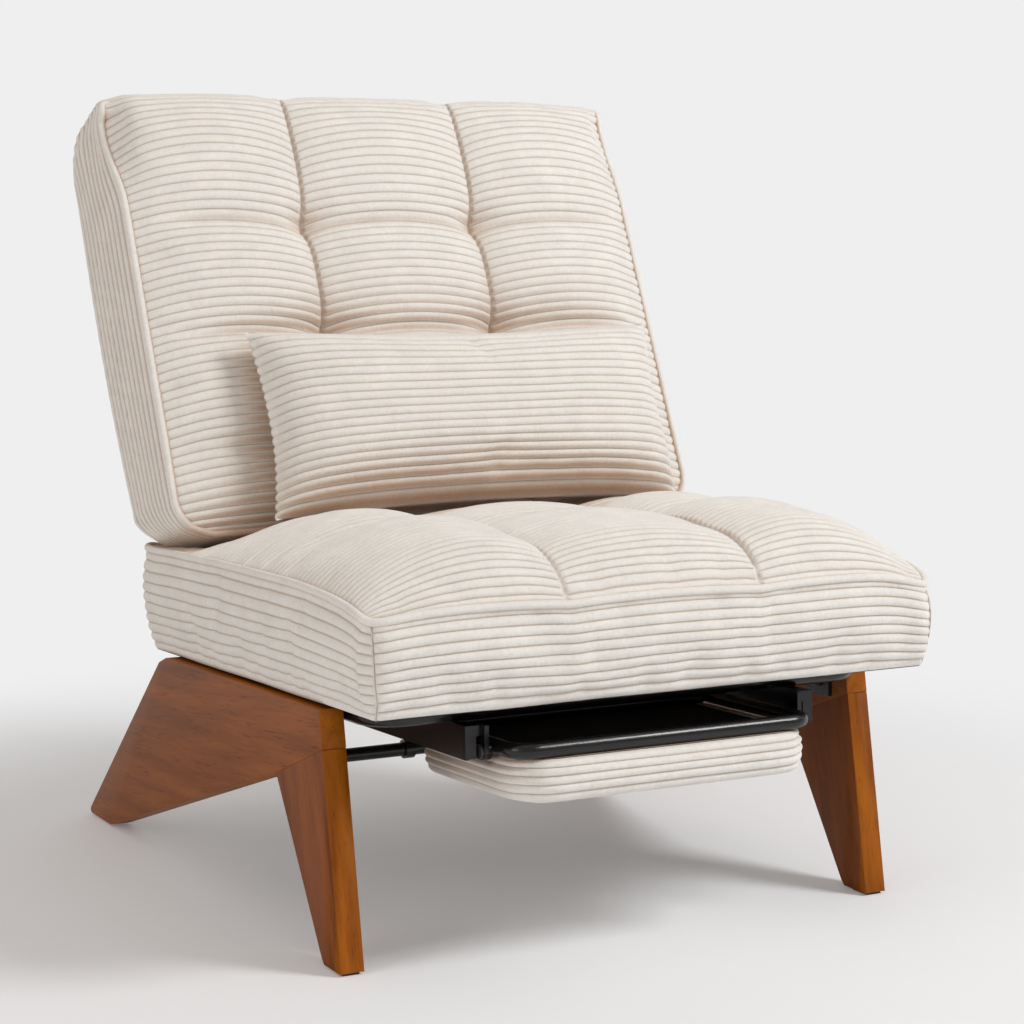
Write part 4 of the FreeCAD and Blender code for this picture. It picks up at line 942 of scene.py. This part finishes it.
def makeBackPanel():
    # the cover of the recess, a corduroy panel that lies on the rear face
    own = backPanel
    grid = np.zeros((own["rows"], own["columns"], 3))
    grid[..., 0] = np.linspace(-own["half"], own["half"], own["columns"])[None, :]
    a = np.linspace(own["low"], own["high"], own["rows"])[:, None]
    grid[..., 2] = a
    toEdge = np.minimum(own["half"] - np.abs(grid[..., 0]),
                        np.minimum(a - own["low"], own["high"] - a))
    rise = smoothStep(toEdge / own["edge"]) * own["proud"] - own["sunk"]
    grid[..., 1] = rearFace(a) + rise
    panel = Cushion("backPanel", backSpace, own["inside"])
    places, here = placesAlong(2 * own["half"] * mm, own["columns"] - 1)
    panel.pleat(grid * mm, own["wales"], places, 41, awayFromEnds(here, own["edgeFade"]))
    panel.build("backrest", "corduroy", ["back_panel"], 0.3, "corduroy")


makeBackPanel()


pillow = {
    "centre": 24, "half": 264, "low": -108, "high": 116, "edge": -62, "front": 56, "rear": 29,
    "tuck": 8, "hollow": 10, "wales": 21, "cell": 11, "scallop": 2.4, "scallopWide": 12,
    "pressure": 2.5, "slack": 0.004, "swell": 5, "facePin": 0.05, "rearPin": 0.4,
    "edgeCrest": 0.35, "edgeFade": 9, "step": 7,
    # share of the way in from the edge, and how full the pillow is there
    "layers": [(0, 0), (0.05, 0.32), (0.12, 0.58), (0.28, 0.88), (0.44, 0.98), (0.6, 1), (1, 1)],
    "ends": [(0, 0), (0.03, 0.30), (0.08, 0.58), (0.16, 0.80), (0.30, 0.95), (0.5, 1), (1, 1)],
}


def makePillow():
    own = pillow
    mid, tall = (own["low"] + own["high"]) / 2, (own["high"] - own["low"]) / 2
    columns = int(2 * own["half"] / own["cell"]) | 1
    rows = int(2 * tall / own["cell"]) | 1
    u = np.linspace(-1, 1, columns)[None, :] * np.ones((rows, 1))
    v = np.linspace(-1, 1, rows)[:, None] * np.ones((1, columns))
    full = np.interp(1 - np.abs(u), *np.array(own["ends"]).T)
    full = full * np.interp(1 - np.abs(v), *np.array(own["layers"]).T) ** 0.9
    halves = []
    for bulge, sign in ((own["front"], -1), (own["rear"], 1)):
        grid = np.zeros((rows, columns, 3))
        grid[..., 0] = own["centre"] + u * (own["half"] - own["hollow"] * (1 - v ** 2))
        grid[..., 2] = mid + v * (tall - own["hollow"] * (1 - u ** 2))
        grid[..., 1] = own["edge"] + sign * bulge * full + own["tuck"] * smoothStep(-v) ** 2
        halves.append(grid * mm)
    cushion = Cushion("lumbarPillow", backSpace, (own["centre"] * mm, own["edge"] * mm, mid * mm))
    pin = np.ones((rows, columns))
    pin[1:-1, 1:-1] = own["facePin"]
    halves = cushion.stuff(halves, [pin, np.maximum(pin, own["rearPin"])], own)
    places, here = placesAlong(2 * own["half"] * mm, columns - 1, (), own["step"])
    mask = own["edgeCrest"] + (1 - own["edgeCrest"]) * awayFromEnds(here, own["edgeFade"])
    crest = np.append(np.tile(np.sin(np.pi * np.array(wale["stations"])), own["wales"]), 0)

    def scallop(grid):
        # each wale pushes the side seams out a little
        fromMiddle = grid[..., 0] - own["centre"] * mm
        near = bell(own["half"] * mm - np.abs(fromMiddle), own["scallopWide"] * mm)
        grid[..., 0] += own["scallop"] * mm * (crest[:, None] - 0.5) * np.sign(fromMiddle) * near
        return grid

    for grid, seed in zip(halves, (51, 52)):
        cushion.pleat(grid, own["wales"], places, seed, mask, bend=scallop)
    cushion.build("backrest", "corduroy", ["lumbar_pillow"], 0.7, "corduroy")


makePillow()


restPad = {
    "half": 172, "front": -130, "length": 240, "top": -48.8, "thick": 45, "corner": 46,
    "crown": 2, "bulge": 8, "boxRows": 8, "cornerOut": (1.35, 1.35), "inset": 3, "columns": 35,
    "rows": 25, "wales": 22, "boxWales": 5, "boxStep": 4, "edgeFade": 12, "topCrest": 0.8,
}


def makeRestPad():
    own = restPad
    columns, rows, inset = own["columns"], own["rows"], own["inset"]
    face = np.zeros((rows, columns, 3))
    face[..., 0] = np.linspace(-own["half"] + inset, own["half"] - inset, columns)[None, :]
    face[..., 1] = np.linspace(own["front"] + inset, own["front"] + own["length"] - inset,
                               rows)[:, None]
    u, v = np.linspace(-1, 1, columns)[None, :], np.linspace(-1, 1, rows)[:, None]
    rise = ((1 - u ** 4) * (1 - v ** 4)) ** 0.7
    face[..., 2] = own["top"] - own["thick"] + own["crown"] * (1 - rise)
    base = face.copy()
    base[..., 2] = own["top"]
    face, base = face * mm, base * mm
    skirt = boxing(face, base, own["boxRows"], own)
    cushion = Cushion("footrestPad", seatSpace, (0, (own["front"] + own["length"] / 2) * mm,
                                                 (own["top"] - own["thick"] / 2) * mm))
    roundCorners = cornerRounder(own)
    places, here = placesAlong(2 * own["half"] * mm, columns - 1)
    cushion.pleat(face, own["wales"], places, 61, awayFromEnds(here, own["edgeFade"]),
                  bend=roundCorners)
    # one strip goes all the way round and is joined in the middle of the rear
    start = columns + rows - 2 + columns // 2
    strip = np.roll(skirt[:, :-1], -start, axis=1)
    strip = np.concatenate([strip, strip[:, :1]], axis=1)
    cushion.pleat(strip, own["boxWales"], placesOver(strip, own["boxStep"])[0], 62,
                  bend=roundCorners)
    cushion.add(roundCorners(base), np.full(base.shape[:2], own["topCrest"]))
    cushion.build("footrest", "corduroy", ["footrest_pad"], 0.6, "corduroy")


makeRestPad()
print("soft pieces done")


view = {"place": (-1.2783, -2.49235, 0.7322), "down": 6.59, "turn": -27.97, "lens": 86,
        "sensor": 36}
stage = {
    "floor": (0.93, 0.955, 0.98), "floorDark": 0.985, "speckScale": 40, "roughness": 0.75,
    "roughnessMore": 0.1, "gloss": 0.15,
    "wide": 16, "front": -9, "rear": 6, "bend": 3, "bendSteps": 16, "high": 9,
    # the glow's share grows from glowFrom over glowOver; its least share near the chair is painted
    # light that lifts the floor's shadows
    "glow": (0.862, 0.862, 0.868), "glowFrom": 0.6, "glowOver": 0.85, "glowLeast": 0.15,
    "world": (0.92, 0.84, 0.78), "worldStrength": 0.50, "aim": (0, 0, 0.4),
    "keyPlace": (2.1, -2.2, 2.95), "keySize": 1.3, "keyPower": 84, "keyTone": (1, 1, 1),
    "fillPlace": (-3.2, -0.9, 1.5), "fillSize": 1.6, "fillPower": 18, "fillTone": (1, 0.94, 0.88),
}


def makeStage():
    # a pale floor that sweeps up behind the chair; away from the chair its colour is even
    own = stage
    bend = own["rear"] - own["bend"]
    profile = [(own["front"], 0), (bend, 0)]
    for k in range(1, own["bendSteps"] + 1):
        turn = math.radians(90 * k / own["bendSteps"])
        profile.append((bend + own["bend"] * math.sin(turn),
                        own["bend"] * (1 - math.cos(turn))))
    profile.append((own["rear"], own["high"]))
    mesh = bpy.data.meshes.new("sweep")
    built = bmesh.new()
    rows = [[built.verts.new((x, y, z)) for x in (-own["wide"], own["wide"])] for y, z in profile]
    for low, high in zip(rows, rows[1:]):
        built.faces.new((low[0], low[1], high[1], high[0]))
    built.to_mesh(mesh)
    built.free()
    for polygon in mesh.polygons:
        polygon.use_smooth = True
    sweep = bpy.data.objects.new("sweep", mesh)
    scene.collection.objects.link(sweep)
    sweep.rotation_euler = (0, 0, math.radians(view["turn"]))
    material, paint = newMaterial("sweep")
    place = objectPlace(paint)
    speck = noise(paint, place, own["speckScale"], 2)
    dark = tuple(c * own["floorDark"] for c in own["floor"])
    floor = paint.node("BsdfPrincipled", None, {
        "Base Color": speck.mix(own["floor"], dark),
        "Roughness": own["roughness"] + speck * own["roughnessMore"],
        "Specular IOR Level": own["gloss"]})
    glow = paint.node("Emission", None, {"Color": (*own["glow"], 1), "Strength": 1.0})
    away = paint.node("VectorMath", {"operation": "LENGTH"}, {0: place}, 1)
    far = ((away - own["glowFrom"]) * (1 / own["glowOver"])).clamp()
    # near the chair the least share of glow still shows, a painted light that lifts the floor's
    # shadows
    far = own["glowLeast"] + far * far * (3 - 2 * far) * (1 - own["glowLeast"])
    # only camera, glossy and transmission rays see the glow
    seen = [paint.node("LightPath", None, None, k) for k in (0, 3, 6)]
    shown = (seen[0] + seen[1] + seen[2]).clamp()
    mixed = paint.node("MixShader", None, {0: far * shown, 1: floor, 2: glow})
    paint.node("OutputMaterial", None, {"Surface": mixed})
    mesh.materials.append(material)


def areaLight(name):
    data = bpy.data.lights.new(name, "AREA")
    data.shape, data.size = "DISK", stage[name + "Size"]
    data.energy, data.color = stage[name + "Power"], stage[name + "Tone"]
    light = bpy.data.objects.new(name, data)
    light.location = stage[name + "Place"]
    towards = Vector(stage["aim"]) - light.location
    light.rotation_euler = towards.to_track_quat("-Z", "Y").to_euler()
    scene.collection.objects.link(light)


makeStage()
areaLight("key")
areaLight("fill")

world = bpy.data.worlds.new("studio")
world.use_nodes = True
world.node_tree.nodes.clear()
sky = Signal(world.node_tree)
ambient = sky.node("Background", None, {"Color": (*stage["world"], 1),
                                        "Strength": stage["worldStrength"]})
# past the sweep's edges the camera sees the sweep's own even colour
beyond = sky.node("Background", None, {"Color": (*stage["glow"], 1), "Strength": 1.0})
seen = sky.node("LightPath")
sky.node("OutputWorld", None, {"Surface": sky.node("MixShader", None, {0: seen, 1: ambient,
                                                                       2: beyond})})
scene.world = world
scene.view_settings.view_transform = "Standard"

camera = bpy.data.objects.new("camera", bpy.data.cameras.new("camera"))
camera.data.lens = view["lens"]
camera.data.sensor_width = view["sensor"]
camera.location = view["place"]
camera.rotation_euler = (math.radians(90 - view["down"]), 0, math.radians(view["turn"]))
scene.collection.objects.link(camera)
scene.camera = camera
print("stage, lights and camera set")
